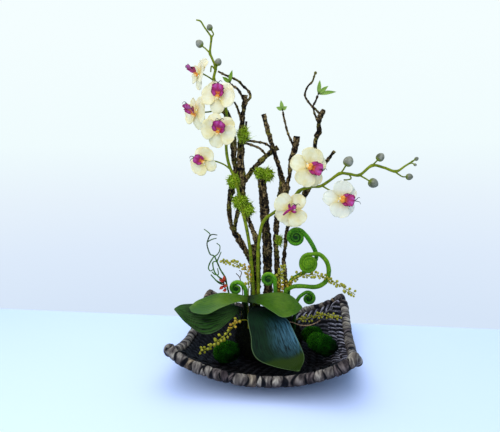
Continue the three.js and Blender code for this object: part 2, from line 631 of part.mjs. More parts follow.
// The lip in front of the hub: a throat, two side lobes and a tongue with two thin curls
function bloomLip(bloom) {
  const place = bloomPlace(bloom);
  const scale = (bloom.size / 38) * (bloom.lip ?? 1.15);
  const base = hubHalfDepth + gap;
  // a slim lip is one that shows its edge
  const slim = bloom.slim ?? 1;
  const at = (x, y, z) => new THREE.Vector3(x * scale, y * scale, base + z * scale).applyMatrix4(place);
  const lobe = (side) => (u, v) => at(
    side * (2.6 + 7.5 * u),
    1.2 - 1.5 * u + side * v * slim * (1.3 + 4.2 * Math.sin(Math.PI * Math.min(1, 0.1 + 0.7 * u))),
    3 + 6.5 * u,
  );
  const tongue = (u, v) => at(
    v * slim * (2 + 6.6 * Math.sin(Math.PI * Math.min(1, 0.75 * u))),
    -2.6 - 14 * u,
    3 + 8 * Math.sin(Math.PI * 0.6 * u) + 1.6 * v * v * u,
  );
  const curl = (side) => [[at(side * slim * 4.4, -19.5, 13), 0.5], [at(side * slim * 6, -18, 19), 0.4]];
  const arms = [
    { pointAt: lobe(1), us: [0, 0.5, 1], vs: [-1, 1] },
    { pointAt: lobe(-1), us: [0, 0.5, 1], vs: [-1, 1] },
    { pointAt: tongue, us: [0, 0.45, 0.8, 1], vs: [-1, 0, 1], tails: [curl(-1), curl(1)] },
  ];
  return star(arms, at(0, 0.4, 6.4), at(0, 0, 0), petalThickness);
}

// A stalk from its spike to just behind the bloom's hub
function bloomStalk(bloom) {
  const place = bloomPlace(bloom);
  const near = new THREE.Vector3(0, 0, -hubHalfDepth - gap - 5).applyMatrix4(place).toArray();
  const end = new THREE.Vector3(0, 0, -hubHalfDepth - gap).applyMatrix4(place).toArray();
  return [...bloom.stalk, [...near, 1.6], [...end, 1.6]];
}

// A stalk whose end swells into a bud
function budLine({ stalk, radius }) {
  const from = toVector(stalk[stalk.length - 2]);
  const end = toVector(stalk[stalk.length - 1]);
  const ahead = end.clone().sub(from).normalize();
  const profile = [[-0.7, 0.5], [-0.1, 0.95], [0.5, 0.85], [1.03, 0.25]];
  const swell = profile.map(([along, share]) => {
    const at = end.clone().addScaledVector(ahead, along * radius);
    return [at.x, at.y, at.z, share * radius];
  });
  return [...stalk.slice(0, -1), ...swell];
}

function spikeSolid({ stem, hooks, buds }, ownBlooms, pad) {
  const parts = [tube(stem, 4, { pad }), ...hooks.map((line) => tube(line, 4, { pad }))];
  buds.forEach((bud) => parts.push(tube(budLine(bud), 5, { pad })));
  ownBlooms.forEach((bloom) => parts.push(tube(bloomStalk(bloom), 3, { pad })));
  return join(parts);
}

// Broad leaves. Each is a surface between its two edges, from the crown to the tip.
const leaves = [
  { name: 'leaf_left_upper', colour: colours.leafBright, sag: -4, ribs: 0.8,
    petiole: [[-50, -4, 46, 3], [-50, -6, 100, 3], [-53, -12, 126, 3.2], [-60, -17, 137.5, 3]],
    back: [[-41, -12, 135], [-54, -9, 138], [-76, -7, 142], [-106, -8, 143], [-137, -12, 134], [-158, -18, 126],
      [-168, -31, 117]],
    front: [[-42, -18, 133], [-52, -27, 134], [-68, -42, 134], [-95, -60, 127], [-121, -70, 117], [-156, -54, 114],
      [-169, -35, 116]] },
  { name: 'leaf_left_lower', colour: colours.leafDark, sag: -2, ribs: 1,
    petiole: [[-50, -16, 46, 3], [-50, -18, 92, 3], [-54, -20, 110, 3.2], [-62, -21, 115, 3]],
    back: [[-55, -17, 116], [-85, -13, 120], [-125, -12, 120], [-165, -14, 119], [-192, -18, 117],
      [-205, -25, 110]],
    front: [[-57, -24, 111], [-78, -42, 94], [-102, -62, 78], [-132, -68, 73], [-172, -51, 88], [-205, -28, 108]] },
  { name: 'leaf_right', colour: colours.leafBright, sag: -3, ribs: 0.8,
    petiole: [[-37, -7, 46, 3], [-37, -9, 100, 3], [-36, -12, 126, 3.2], [-28, -16, 141, 3]],
    back: [[-37, -12, 139], [-5, -12, 146], [18, -11, 150], [40, -13, 149], [57, -18, 142], [74, -27, 126]],
    front: [[-35, -19, 138], [-10, -42, 133], [14, -58, 124], [37, -70, 117], [62, -52, 118], [75, -31, 124]] },
  { name: 'leaf_front', colour: colours.leafTeal, sag: -4, ribs: 1.2,
    petiole: [[-35, -19, 46, 3], [-35, -21, 96, 3], [-32, -24, 114, 3.2], [-26, -28, 121, 3]],
    back: [[-22, -22, 123], [12, -26, 117], [39, -38, 105], [50, -50, 98], [64, -76, 80], [75, -100, 67],
      [81, -126, 57], [73, -155, 47]],
    front: [[-29, -29, 121], [-38, -50, 113], [-33, -76, 99], [-25, -100, 84], [-20, -122, 67], [-5, -140, 56],
      [29, -152, 50], [69, -158, 47]] },
];

function leafSurface({ back, front, sag, ribs }) {
  const backCurve = new THREE.CatmullRomCurve3(back.map(toVector), false, 'centripetal');
  const frontCurve = new THREE.CatmullRomCurve3(front.map(toVector), false, 'centripetal');
  return (u, v) => {
    const a = backCurve.getPoint(THREE.MathUtils.clamp(u, 0, 1));
    const b = frontCurve.getPoint(THREE.MathUtils.clamp(u, 0, 1));
    const along = backCurve.getPoint(Math.min(1, u + 0.02)).sub(backCurve.getPoint(Math.max(0, u - 0.02)));
    const up = new THREE.Vector3().subVectors(a, b).cross(along).normalize();
    if (up.z < 0) up.negate();
    const share = (v + 1) / 2;
    const width = a.distanceTo(b);
    const drop = sag * (1 - v * v) * Math.min(1, width / 40) + ribs * Math.cos(4 * Math.PI * v);
    const swell = Math.min(1, width / 40);
    return b.lerp(a, share).addScaledVector(up, drop * swell);
  };
}

function leafSolid(leaf) {
  const pointAt = leafSurface(leaf);
  const us = [0.02, 0.1, 0.2, 0.32, 0.44, 0.56, 0.68, 0.8, 0.91, 0.98];
  const vs = [-1, -0.5, 0, 0.5, 1];
  return join([blade(pointAt, us, vs, 1.6), tube(leaf.petiole, 5)]);
}

// Fern crosiers: a stem that winds up into a coil in an upright plane. The coil lists its reach from the
// centre and its radius at every quarter turn after the stem's last point.
const crosiers = [
  { name: 'crosier_tall', colour: colours.crosierDark, centre: [59, 8, 268], way: 1, sides: 6,
    stem: [[43, 14, 34, 4], [43, 14, 134, 4.2], [49, 12, 169, 4.2], [63, 10, 181, 4.2], [82, 9, 193, 4.2],
      [99, 8, 212, 4.2], [104, 8, 228, 4.3], [98, 8, 246, 4.5], [86, 8, 266, 4.6], [75, 8, 279, 4.4]],
    coil: [[15.6, 4.2], [14.6, 4], [15.4, 3.6], [13.4, 3], [9, 2.4], [7.2, 2.2], [7.6, 2], [6, 1.8], [3.2, 1.4]] },
  { name: 'crosier_lime', colour: colours.crosierLime, centre: [87, -10, 215.5], way: 1, sides: 6,
    stem: [[37, -4, 34, 4], [37, -4, 140, 4.2], [50, -8, 160, 4.2], [70, -10, 165, 4.3], [101, -10, 164, 4.4],
      [118, -10, 171, 4.5], [127, -10, 183, 4.6], [130, -10, 200, 4.6], [126, -10, 218, 4.5],
      [116, -10, 231, 4.4], [106, -10, 236, 4.2], [92, -10, 235, 3.8]],
    coil: [[15.4, 3.5], [17, 3.4], [14.6, 3.3], [12, 3.2], [8.6, 3.2], [9.6, 3.1], [7, 3], [4.6, 2.8], [2, 2.2]] },
  { name: 'crosier_centre', colour: colours.crosierDark, centre: [2, -2, 175], way: 1, sides: 5,
    stem: [[13, -4, 40, 3.2], [13, -4, 120, 3.6], [16, -3, 150, 3.8], [15, -2, 168, 4]],
    coil: [[11.6, 4.1], [12.8, 3.8], [10.4, 3.4], [7.4, 2.8], [3.8, 2.2], [3.6, 1.8]] },
  { name: 'crosier_left', colour: colours.crosierDark, centre: [-72, 4, 151], way: 1, sides: 5,
    stem: [[-52, 6, 40, 3.2], [-50, 5, 134, 4], [-51, 4, 150, 4.3], [-58, 4, 161, 4.3]],
    coil: [[11.6, 4], [10, 3.6], [9.4, 3], [6.6, 2.4], [3.6, 1.9], [2.8, 1.4]] },
  { name: 'crosier_right', colour: colours.crosierDark, centre: [88.5, 4, 134.5], way: -1, sides: 5,
    stem: [[56, 4, 50, 3], [60, 4, 112, 3.2], [67, 4, 134, 3.5], [79, 4, 145, 3.5]],
    coil: [[11.6, 3.4], [11.2, 3.2], [9.8, 2.8], [6.6, 2.4], [3.4, 2], [2.6, 1.4]] },
];

function crosierSolid({ centre, stem, coil, way, sides }) {
  const last = stem[stem.length - 1];
  const start = new THREE.Vector2(last[0] - centre[0], last[2] - centre[2]);
  const quarters = [[start.length(), last[3]], ...coil];
  const line = [...stem];
  for (let i = 1; i <= coil.length * 2; i += 1) {
    const from = Math.min(Math.floor(i / 2), coil.length - 1);
    const [reach, radius] = quarters[from].map((value, k) => (
      THREE.MathUtils.lerp(value, quarters[from + 1][k], i / 2 - from)));
    const angle = start.angle() + (way * i * Math.PI) / 4;
    line.push([centre[0] + reach * Math.cos(angle), centre[1], centre[2] + reach * Math.sin(angle), radius]);
  }
  return tube(line, sides);
}

// Berry sprays: small beads set round a thin stem
const sprays = [
  { name: 'spray_front', from: 0.3, beads: 17,
    line: [[-40, -28, 72, 1], [-42, -29, 90, 1], [-56, -42, 95, 1], [-61, -56, 95, 1], [-70, -72, 87, 1],
      [-82, -88, 79, 1], [-93, -100, 72, 1], [-104, -112, 66, 0.9], [-116, -122, 62, 0.9], [-123, -128, 61, 0.9]] },
  { name: 'spray_right_low', from: 0.32, beads: 15,
    line: [[31, 20, 70, 1], [34, 21, 86, 1], [52, 25, 76, 1], [83, 35, 76, 1], [101, 42, 80, 1],
      [121, 48, 81, 1], [141, 54, 77, 0.9], [160, 58, 73, 0.9]] },
  { name: 'spray_right_high', from: 0.36, beads: 19,
    line: [[31, 6, 72, 1], [33, 5, 130, 1], [37, 4, 152, 1], [49, 1, 171, 1], [65, -1, 184, 1],
      [84, -3, 188, 1], [107, -22, 193, 1], [132, -25, 185, 1], [153, -24, 173, 0.9], [174, -22, 160, 0.9],
      [184, -22, 154, 0.9]] },
  { name: 'spray_centre', from: 0.55, beads: 8,
    line: [[24, 5, 72, 1], [25, 4, 130, 1], [28, 0, 165, 1], [27, 0, 183, 1], [32, 1, 207, 0.9]] },
  { name: 'spray_left', from: 0.47, beads: 14,
    line: [[-46, 10, 72, 1], [-44.5, 6, 134, 1], [-42, -1, 166, 1], [-43, -2, 186, 1], [-49, -3, 199, 1],
      [-59, -3, 203, 1], [-76, -3, 211, 1], [-93, -3, 212, 0.9], [-102, -3, 216, 0.9]] },
];
const beadRadius = 3;

// A three-sided stem whose faces swell into beads, first on one side and then on the next
function spraySolid({ line, from, beads }, seed) {
  const random = seeded(seed);
  const curve = new THREE.CurvePath();
  for (let i = 1; i < line.length; i += 1) {
    curve.add(new THREE.LineCurve3(toVector(line[i - 1]), toVector(line[i])));
  }
  const whole = curve.getLength();
  const seat = 1.2;
  const stations = curve.getCurveLengths().map((length) => ({ length }));
  stations.unshift({ length: 0 });
  for (let i = 0; i < beads; i += 1) {
    const part = from + ((1 - from) * (i + 0.4 * random())) / (beads - 0.5);
    const middle = Math.min(part * whole, whole - seat);
    // a bend too close to a bead is dropped, so that the bead keeps its seat
    const near = stations.filter(({ length, bead }) => bead === undefined && Math.abs(length - middle) < 2 * seat);
    near.forEach((station) => {
      if (station.length > 0 && station.length < whole) stations.splice(stations.indexOf(station), 1);
    });
    stations.push({ length: middle - seat, bead: i }, { length: middle + seat * 0.99, bead: -1 });
  }
  stations.sort((a, b) => a.length - b.length);
  const points = [];
  const triangles = [];
  const add = (point) => points.push(point.toArray()) - 1;
  const across = new THREE.Vector3(0, 1, 0);
  const rings = stations.map(({ length }) => {
    const centre = curve.getPoint(length / whole);
    const tangent = curve.getTangent(length / whole);
    across.addScaledVector(tangent, -across.dot(tangent)).normalize();
    return [0, 1, 2].map((k) => add(across.clone().applyAxisAngle(tangent, (2 * Math.PI * k) / 3).add(centre)));
  });
  rings.slice(0, -1).forEach((ring, i) => {
    const next = rings[i + 1];
    const { bead } = stations[i];
    for (let k = 0; k < 3; k += 1) {
      const corners = [ring[k], ring[(k + 1) % 3], next[(k + 1) % 3], next[k]];
      if (bead === undefined || bead < 0 || bead % 3 !== k) {
        triangles.push([corners[0], corners[1], corners[2]], [corners[0], corners[2], corners[3]]);
        continue;
      }
      const places = corners.map((corner) => toVector(points[corner]));
      const middle = places.reduce((sum, place) => sum.add(place), new THREE.Vector3()).divideScalar(4);
      const out = places[1].clone().sub(places[0]).cross(places[3].clone().sub(places[0])).normalize();
      const size = beadRadius * (0.85 + 0.3 * random());
      // the bead stands on a short stalk of its own
      const reach = size * (1 + 1.3 * random());
      const belt = places.map((place) => {
        const spoke = place.sub(middle).normalize().multiplyScalar(size);
        return add(spoke.add(middle).addScaledVector(out, reach));
      });
      const top = add(middle.addScaledVector(out, reach + size));
      for (let j = 0; j < 4; j += 1) {
        const after = (j + 1) % 4;
        triangles.push([corners[j], corners[after], belt[after]], [corners[j], belt[after], belt[j]]);
        triangles.push([belt[j], belt[after], top]);
      }
    }
  });
  const end = rings[rings.length - 1];
  triangles.push([rings[0][0], rings[0][2], rings[0][1]], [end[0], end[1], end[2]]);
  return toSolid(closedGeometry(points, triangles));
}

// Moss clumps tied to the branches, each of one or two lumpy balls
const clumps = [
  { name: 'moss_clump_upper', balls: [{ centre: [-77, 21, 389], radii: [13, 12, 14] }] },
  { name: 'moss_clump_lower', balls: [{ centre: [-62, 22, 342], radii: [17, 14, 14] },
    { centre: [-48, 24, 326], radii: [14, 13, 14] }] },
  { name: 'moss_clump_post', balls: [{ centre: [-21, 40, 404], radii: [11, 12, 12] },
    { centre: [-6, 40, 401], radii: [14, 12, 12] }] },
  { name: 'moss_clump_high', balls: [{ centre: [-55, 24, 487], radii: [9, 8, 11] }] },
  { name: 'moss_clump_stick', balls: [{ centre: [21, 50, 252], radii: [6, 6, 9] }] },
];

function clumpSolid({ balls }, seed) {
  const lumps = balls.map(({ centre, radii }, i) => (
    lumpyBall(centre, radii, { around: 8, down: 4, lumps: 0.26, seed: seed + i })));
  return join(lumps);
}

// Tufts of young leaves at twig ends
const tufts = [
  { name: 'tuft_left', base: [-80.6, 13.2, 596], twig: [-78.3, 13.8, 593.6], tips: [[-75, 12, 621], [-96, 12, 608]] },
  { name: 'tuft_middle', base: [29.4, 33.6, 539.4], twig: [29.9, 33.9, 536.4],
    tips: [[26, 32, 559], [16, 32, 545], [39, 32, 546]] },
  { name: 'tuft_right', base: [104.6, 10.6, 567.2], twig: [103.4, 10.9, 564.5],
    tips: [[107, 9, 594], [124, 9, 582], [140, 9, 570]] },
];
const tuftWidth = 8;

// Blades that bow to the front and to the back in turn, on a short thick stub of twig
function tuftSolid({ base, tips, twig }) {
  const root = toVector(base);
  const away = root.clone().sub(toVector(twig)).normalize().add(root);
  const stub = tube([[...twig, 1], [...base, 1.9], [...away.toArray(), 1.2]], 5);
  const young = tips.map((tip, i) => {
    const along = toVector(tip).sub(root);
    const side = new THREE.Vector3(0, -1, 0).cross(along).normalize();
    const bow = i % 2 === 0 ? -3 : 2;
    const pointAt = (u, v) => {
      const half = Math.max(0.7, (tuftWidth / 2) * Math.sin(Math.PI * Math.min(1, 0.06 + 0.86 * u)));
      const point = root.clone().addScaledVector(along, u).addScaledVector(side, v * half);
      point.y += bow * Math.sin(Math.PI * u);
      return point;
    };
    return blade(pointAt, [0, 0.42, 1], [-1, 1], petalThickness);
  });
  return join([stub, ...young]);
}

// Thin tangled tendrils on the left
const tendrils = [
  [[-62, 4, 70, 1.5], [-70, 3, 100, 1.5], [-84, 1, 128, 1.5], [-87, 0, 139, 1.5], [-91, -4, 161, 1.5],
    [-94, -6, 178, 1.5], [-103, -6, 193, 1.3], [-108, -6, 204, 1.3], [-113, -6, 216, 1.3], [-118, -6, 226, 1.3],
    [-126, -6, 229, 1.3], [-131, -6, 241, 1.3], [-133, -6, 254, 1.3], [-128, -6, 268, 1.3], [-126, -6, 274, 1.1],
    [-132, -6, 280, 1.1], [-139, -6, 285, 1.1]],
  [[-127, -6, 270, 1.3], [-120, -8, 274, 1.1], [-109, -10, 273, 0.9]],
  [[-132, -6, 257, 1.3], [-121, -8, 263, 1.1], [-111, -10, 266, 0.9]],
  [[-117, -6, 224, 1.3], [-110, -4, 230, 1.1], [-106, -4, 237, 1.1], [-105, -4, 248, 0.9], [-112, -4, 254, 0.9]],
  [[-112, -6, 213, 1.3], [-105, -9, 227, 1.1], [-101, -10, 236, 0.9]],
  [[-118, -6, 225, 1.3], [-121, -9, 220, 1.1], [-127, -10, 210, 1.1], [-130, -10, 199, 1.1], [-126, -10, 193, 0.9],
    [-120, -10, 196, 0.9]],
  [[-92, -5, 168, 1.3], [-107, -10, 180, 1.1], [-115, -11, 189, 1.1], [-119, -11, 200, 1.1],
    [-121, -10, 212, 0.9]],
  [[-91, -4, 160, 1.3], [-106, -13, 167, 1.1], [-118, -14, 179, 1.1], [-124, -14, 186, 0.9]],
];

// Small red leaves caught on the tendrils
const redSprig = {
  stem: [[-91.6, -6.6, 166, 1], [-95, -9.5, 171, 1], [-97, -10.5, 160, 1], [-91, -8.5, 152, 1]],
  leaves: [[[-95, -9.5, 171], [-95, -12, 184]], [[-95, -9.5, 171], [-106, -16, 176]],
    [[-97, -10.5, 160], [-106, -13, 153]], [[-91, -8.5, 152], [-99, -12, 149]]],
};

function redSprigSolid() {
  const parts = [tube(redSprig.stem, 4)];
  redSprig.leaves.forEach(([root, tip]) => {
    const start = toVector(root);
    const along = toVector(tip).sub(start);
    const side = new THREE.Vector3(0, 1, 0).cross(along).normalize();
    const pointAt = (u, v) => {
      const half = 2.6 * Math.max(0.3, Math.sin(Math.PI * Math.min(1, 0.12 + 0.8 * u)));
      return start.clone().addScaledVector(along, u).addScaledVector(side, v * half);
    };
    parts.push(blade(pointAt, [0, 0.5, 1], [-1, 1], petalThickness));
  });
  return join(parts);
}

const darkTwig = [
  [[-62, 14, 70, 1.3], [-60, 12, 110, 1.2], [-58, 11, 141, 1.1], [-62, 10, 162, 1.1], [-64, 10, 174, 1],
    [-72, 9, 184, 0.9]],
  [[-64, 10, 172, 1], [-60, 10, 186, 0.9], [-65, 9, 191, 0.8]],
];

const vine = [[38, -16, 68, 1.2], [39, -16, 84, 1.2], [53, -12, 84, 1.2], [70, -6, 76, 1.2], [89, 0, 74, 1.2],
  [104, 12, 75, 1.2], [114, 24, 77, 1.2]];

// Filling

// The stems stand in plain holes through moss and foam
function stemTools() {
  const ownStems = [
    leftBranch.main, leftBranch.stump, post, forkedStick.low, rightBranch.main, spikeLeft.stem, spikeRight.stem,
    ...leaves.map((leaf) => leaf.petiole), ...crosiers.map((crosier) => crosier.stem),
    ...sprays.map((spray) => spray.line), tendrils[0], darkTwig[0], vine,
  ];
  return ownStems.map((line) => {
    const low = [];
    for (let i = 0; i < line.length; i += 1) {
      low.push(line[i]);
      if (line[i][2] > moundTop + 12) break;
    }
    const [x, y, z, radius] = low[0];
    const widest = Math.max(...low.map((point) => point[3]));
    // wide enough for the knobs of a rough stem
    const wide = widest * 1.42;
    const fat = low.map((point) => [point[0], point[1], point[2], wide]);
    const sides = radius > 2 ? 5 : 4;
    return tube([[x, y, z - gap, wide], ...fat.slice(1)], sides, { pad: radius > 2 ? gap : 2 * gap });
  });
}

function foamBlock() {
  const block = new THREE.CylinderGeometry(foamRadius, foamRadius, foamTop - foamBottom, 16);
  block.rotateX(Math.PI / 2);
  block.translate(foamCentre[0], foamCentre[1], (foamTop + foamBottom) / 2);
  return toSolid(block);
}

function foamPocket() {
  const pocket = new THREE.CylinderGeometry(foamRadius + 1, foamRadius + 1, foamTop + gap + 20, 16);
  pocket.rotateX(Math.PI / 2);
  pocket.translate(foamCentre[0], foamCentre[1], (foamTop + gap - 20) / 2);
  return toSolid(pocket);
}

// A low lumpy dome whose underside follows the tray
function mossMound() {
  const random = seeded(71);
  const around = 20;
  const parts = [0.4, 0.68, 0.86, 0.97];
  const points = [[foamCentre[0], foamCentre[1], moundTop], [foamCentre[0], foamCentre[1], trayWall + 1]];
  const triangles = [];
  const upper = [];
  const lower = [];
  parts.forEach((part) => {
    for (let k = 0; k < around; k += 1) {
      const angle = (2 * Math.PI * k) / around;
      const reach = moundRadius * part * (1 + 0.05 * Math.sin(3 * angle + 1) + 0.05 * (random() - 0.5));
      const x = foamCentre[0] + reach * Math.cos(angle);
      const y = foamCentre[1] + reach * Math.sin(angle);
      const ground = floorHeight(x, y) + gap;
      const dome = (1 - part ** 4) ** 0.45;
      const height = Math.max(4, (moundTop - ground) * dome * (1 + 0.12 * (random() - 0.5)));
      upper.push([x, y, ground + height]);
      lower.push([x, y, ground]);
    }
  });
  points.push(...upper, ...lower);
  const at = (level, ring, k) => 2 + (level * parts.length + ring) * around + (k % around);
  for (let k = 0; k < around; k += 1) {
    triangles.push([0, at(0, 0, k), at(0, 0, k + 1)], [1, at(1, 0, k + 1), at(1, 0, k)]);
    for (let ring = 0; ring < parts.length - 1; ring += 1) {
      const [a, b] = [at(0, ring, k), at(0, ring, k + 1)];
      const [c, d] = [at(0, ring + 1, k + 1), at(0, ring + 1, k)];
      triangles.push([a, d, c], [a, c, b]);
      const [e, f] = [at(1, ring, k), at(1, ring, k + 1)];
      const [g, h] = [at(1, ring + 1, k + 1), at(1, ring + 1, k)];
      triangles.push([e, g, h], [e, f, g]);
    }
    const edge = parts.length - 1;
    const [a, b] = [at(0, edge, k), at(0, edge, k + 1)];
    const [c, d] = [at(1, edge, k), at(1, edge, k + 1)];
    triangles.push([a, c, d], [a, d, b]);
  }
  return toSolid(closedGeometry(points, triangles));
}

// Stones wrapped in moss, lying on the tray
const stones = [
  { name: 'moss_stone_left', centre: [-78, -76, 33], radii: [29, 22, 21], tilt: 4, turn: 20, lift: -2.2 },
  { name: 'moss_stone_right', centre: [118, -38, 46], radii: [33, 22, 21], tilt: -22, turn: 10, lift: -0.9 },
  { name: 'moss_stone_back', centre: [98, 32, 46], radii: [25, 20, 20], tilt: 0, turn: -10, lift: 0.1 },
];

// Lowers a stone until its lowest corner is its lift above the ridges of the tray. A lift below zero lets
// it down between two ridges, and either way its faces stay just clear.
function stoneSolid({ centre, radii, tilt, turn, lift }, seed) {
  const make = (drop) => lumpyBall([centre[0], centre[1], centre[2] - drop], radii,
    { around: 10, down: 7, lumps: 0.14, seed, tilt, turn });
  const mesh = make(0).getMesh();
  let clear = Infinity;
  for (let i = 0; i < mesh.vertProperties.length; i += 3) {
    const [x, y, z] = mesh.vertProperties.slice(i, i + 3);
    clear = Math.min(clear, z - floorHeight(x, y));
  }
  return make(clear - lift);
}

// Nodes

const arrangement = new THREE.Group();

function addNode(name, solid, colour, roughness = 0.8) {
  const material = new THREE.MeshStandardMaterial({ color: colour, roughness, metalness: 0 });
  const mesh = new THREE.Mesh(toGeometry(solid), material);
  mesh.name = name;
  arrangement.add(mesh);
}

const holes = stemTools();
addNode('tray_weave', trayWeave(), colours.weave, 0.75);
addNode('tray_rim', trayRim(), colours.rim, 0.7);
addNode('floral_foam', cut(foamBlock(), holes), colours.foam, 0.95);
addNode('moss_mound', cut(mossMound(), [foamPocket(), ...holes]), colours.moss, 1);
stones.forEach((stone, i) => addNode(stone.name, stoneSolid(stone, 81 + i), colours.stone, 1));

addNode('branch_left', leftBranchSolid(0), colours.bark);
addNode('mossy_post', postSolid(0), colours.barkMossy, 0.95);
addNode('forked_stick', forkedStickSolid(0), colours.bark);
addNode('branch_right', rightBranchSolid(0), colours.bark);

const leftBlooms = blooms.slice(0, 5);
const rightBlooms = blooms.slice(5);
addNode('spike_left', spikeSolid(spikeLeft, leftBlooms, 0), colours.spike, 0.55);
addNode('spike_right', spikeSolid(spikeRight, rightBlooms, 0), colours.spike, 0.55);
blooms.forEach((bloom) => {
  addNode(bloom.name, bloomPetals(bloom), colours.petal, 0.5);
  addNode(`${bloom.name}_lip`, bloomLip(bloom), colours.lip, 0.5);
});

leaves.forEach((leaf) => addNode(leaf.name, leafSolid(leaf), leaf.colour, 0.45));
crosiers.forEach((crosier) => addNode(crosier.name, crosierSolid(crosier), crosier.colour, 0.7));
sprays.forEach((spray, i) => addNode(spray.name, spraySolid(spray, 91 + i), colours.berry, 0.5));

const clumpTools = [leftBranchSolid(gap), postSolid(gap), forkedStickSolid(gap), spikeSolid(spikeLeft, [], gap)];
clumps.forEach((clump, i) => {
  addNode(clump.name, cut(clumpSolid(clump, 101 + 3 * i), clumpTools), colours.clump, 1);
});

tufts.forEach((tuft) => addNode(tuft.name, tuftSolid(tuft), colours.tuft, 0.5));
addNode('tendril_tangle', join(tendrils.map((line) => tube(line, 3))), colours.tendril, 0.7);
addNode('red_sprig', redSprigSolid(), colours.redLeaf, 0.6);
addNode('dark_twig', join(darkTwig.map((line) => tube(line, 4))), colours.bark, 0.8);
addNode('vine', tube(vine, 5), colours.vine, 0.7);

export default arrangement;
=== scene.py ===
import bpy
import math
import numpy as np
from mathutils import Matrix, Vector


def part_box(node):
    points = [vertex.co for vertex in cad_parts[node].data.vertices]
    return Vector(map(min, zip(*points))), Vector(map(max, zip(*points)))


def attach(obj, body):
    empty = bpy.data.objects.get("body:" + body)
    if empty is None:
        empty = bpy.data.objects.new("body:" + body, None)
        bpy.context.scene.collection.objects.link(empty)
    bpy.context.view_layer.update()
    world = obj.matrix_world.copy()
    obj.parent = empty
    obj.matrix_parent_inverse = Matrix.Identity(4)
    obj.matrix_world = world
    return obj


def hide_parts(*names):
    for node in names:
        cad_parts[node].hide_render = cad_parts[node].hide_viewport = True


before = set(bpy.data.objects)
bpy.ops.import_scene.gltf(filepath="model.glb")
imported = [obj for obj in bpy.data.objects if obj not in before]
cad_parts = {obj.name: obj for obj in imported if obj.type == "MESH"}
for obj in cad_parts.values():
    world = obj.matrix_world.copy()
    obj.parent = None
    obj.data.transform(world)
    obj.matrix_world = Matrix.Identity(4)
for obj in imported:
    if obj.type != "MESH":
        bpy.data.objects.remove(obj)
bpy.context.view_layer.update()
mm = 0.001


hashPrimes = np.array([374761393, 668265263, 2147483647])
hashSeed, hashMixer, wordMask = 144665, 1274126177, 0xFFFFFFFF


# value noise from -1 to 1: random numbers on a lattice of the given cell size, blended by a smooth step
# between corners
def lumpNoise(points, cell, seed=0):
    p = np.asarray(points, float) / cell
    base = np.floor(p).astype(np.int64)
    f = p - base
    f = f * f * (3 - 2 * f)
    total = np.zeros(len(p))
    for corner in range(8):
        o = np.array([corner & 1, (corner >> 1) & 1, corner >> 2])
        h = (((base + o) * hashPrimes).sum(1) + seed * hashSeed) & wordMask
        h = ((h ^ (h >> 13)) * hashMixer) & wordMask
        value = ((h ^ (h >> 16)) & 0xFFFF) / 32767.5 - 1
        total += value * np.prod(np.where(o == 1, f, 1 - f), axis=1)
    return total


# noise of several sizes, each half as large and half as strong as the one before
def roughNoise(points, cell, seed=0, octaves=3):
    return sum(lumpNoise(points, cell / 2 ** k, seed + 7 * k) / 2 ** k for k in range(octaves))


# a smooth line through the given rows [x, y, z, ...], by the Catmull-Rom rule, with some steps in each
# stretch
def smoothLine(rows, steps):
    p = np.asarray(rows, float)
    p = np.vstack([2 * p[:1] - p[1:2], p, 2 * p[-1:] - p[-2:-1]])
    t = np.linspace(0, 1, steps, endpoint=False)[:, None]
    parts = []
    for a, b, c, d in zip(p, p[1:], p[2:], p[3:]):
        bend, twist = 2 * a - 5 * b + 4 * c - d, 3 * b - a - 3 * c + d
        parts.append(0.5 * (2 * b + (c - a) * t + bend * t ** 2 + twist * t ** 3))
    return np.vstack(parts + [p[-2:-1]])


# the same line with its rows an even distance apart
def evenLine(rows, gap):
    far = pathReach(rows[:, :3])
    count = max(3, int(far[-1] / gap) + 1)
    want = np.linspace(0, far[-1], count)
    return np.stack([np.interp(want, far, rows[:, k]) for k in range(rows.shape[1])], 1)


# quads of a grid of rows by columns, whose columns or rows may close on themselves
def gridQuads(rows, columns, closeRows=False, closeColumns=False):
    i = np.arange(rows if closeRows else rows - 1)[:, None]
    j = np.arange(columns if closeColumns else columns - 1)[None, :]
    i2, j2 = (i + 1) % rows, (j + 1) % columns
    corners = [i * columns + j, i2 * columns + j, i2 * columns + j2, i * columns + j2]
    return np.stack(corners, -1).reshape(-1, 4)


# directions across a path: the facing, or else the direction that the path runs along least, squared to the
# path at every point
def pathFrames(path, closed=False, facing=None):
    ahead = np.roll(path, -1, 0) - np.roll(path, 1, 0)
    if not closed:
        ahead[0], ahead[-1] = path[1] - path[0], path[-1] - path[-2]
    ahead /= np.linalg.norm(ahead, axis=1)[:, None]
    if facing is None:
        facing = np.linalg.svd(ahead, full_matrices=False)[2][-1]
    first = facing - ahead * np.sum(facing * ahead, 1)[:, None]
    first /= np.linalg.norm(first, axis=1)[:, None]
    return ahead, first, np.cross(ahead, first)


# the angles of points spread evenly round a circle
def ringAngles(count):
    return np.arange(count) * 2 * np.pi / count


# the distance along a path at each of its points
def pathReach(path):
    return np.concatenate([[0], np.cumsum(np.linalg.norm(np.diff(path, axis=0), axis=1))])


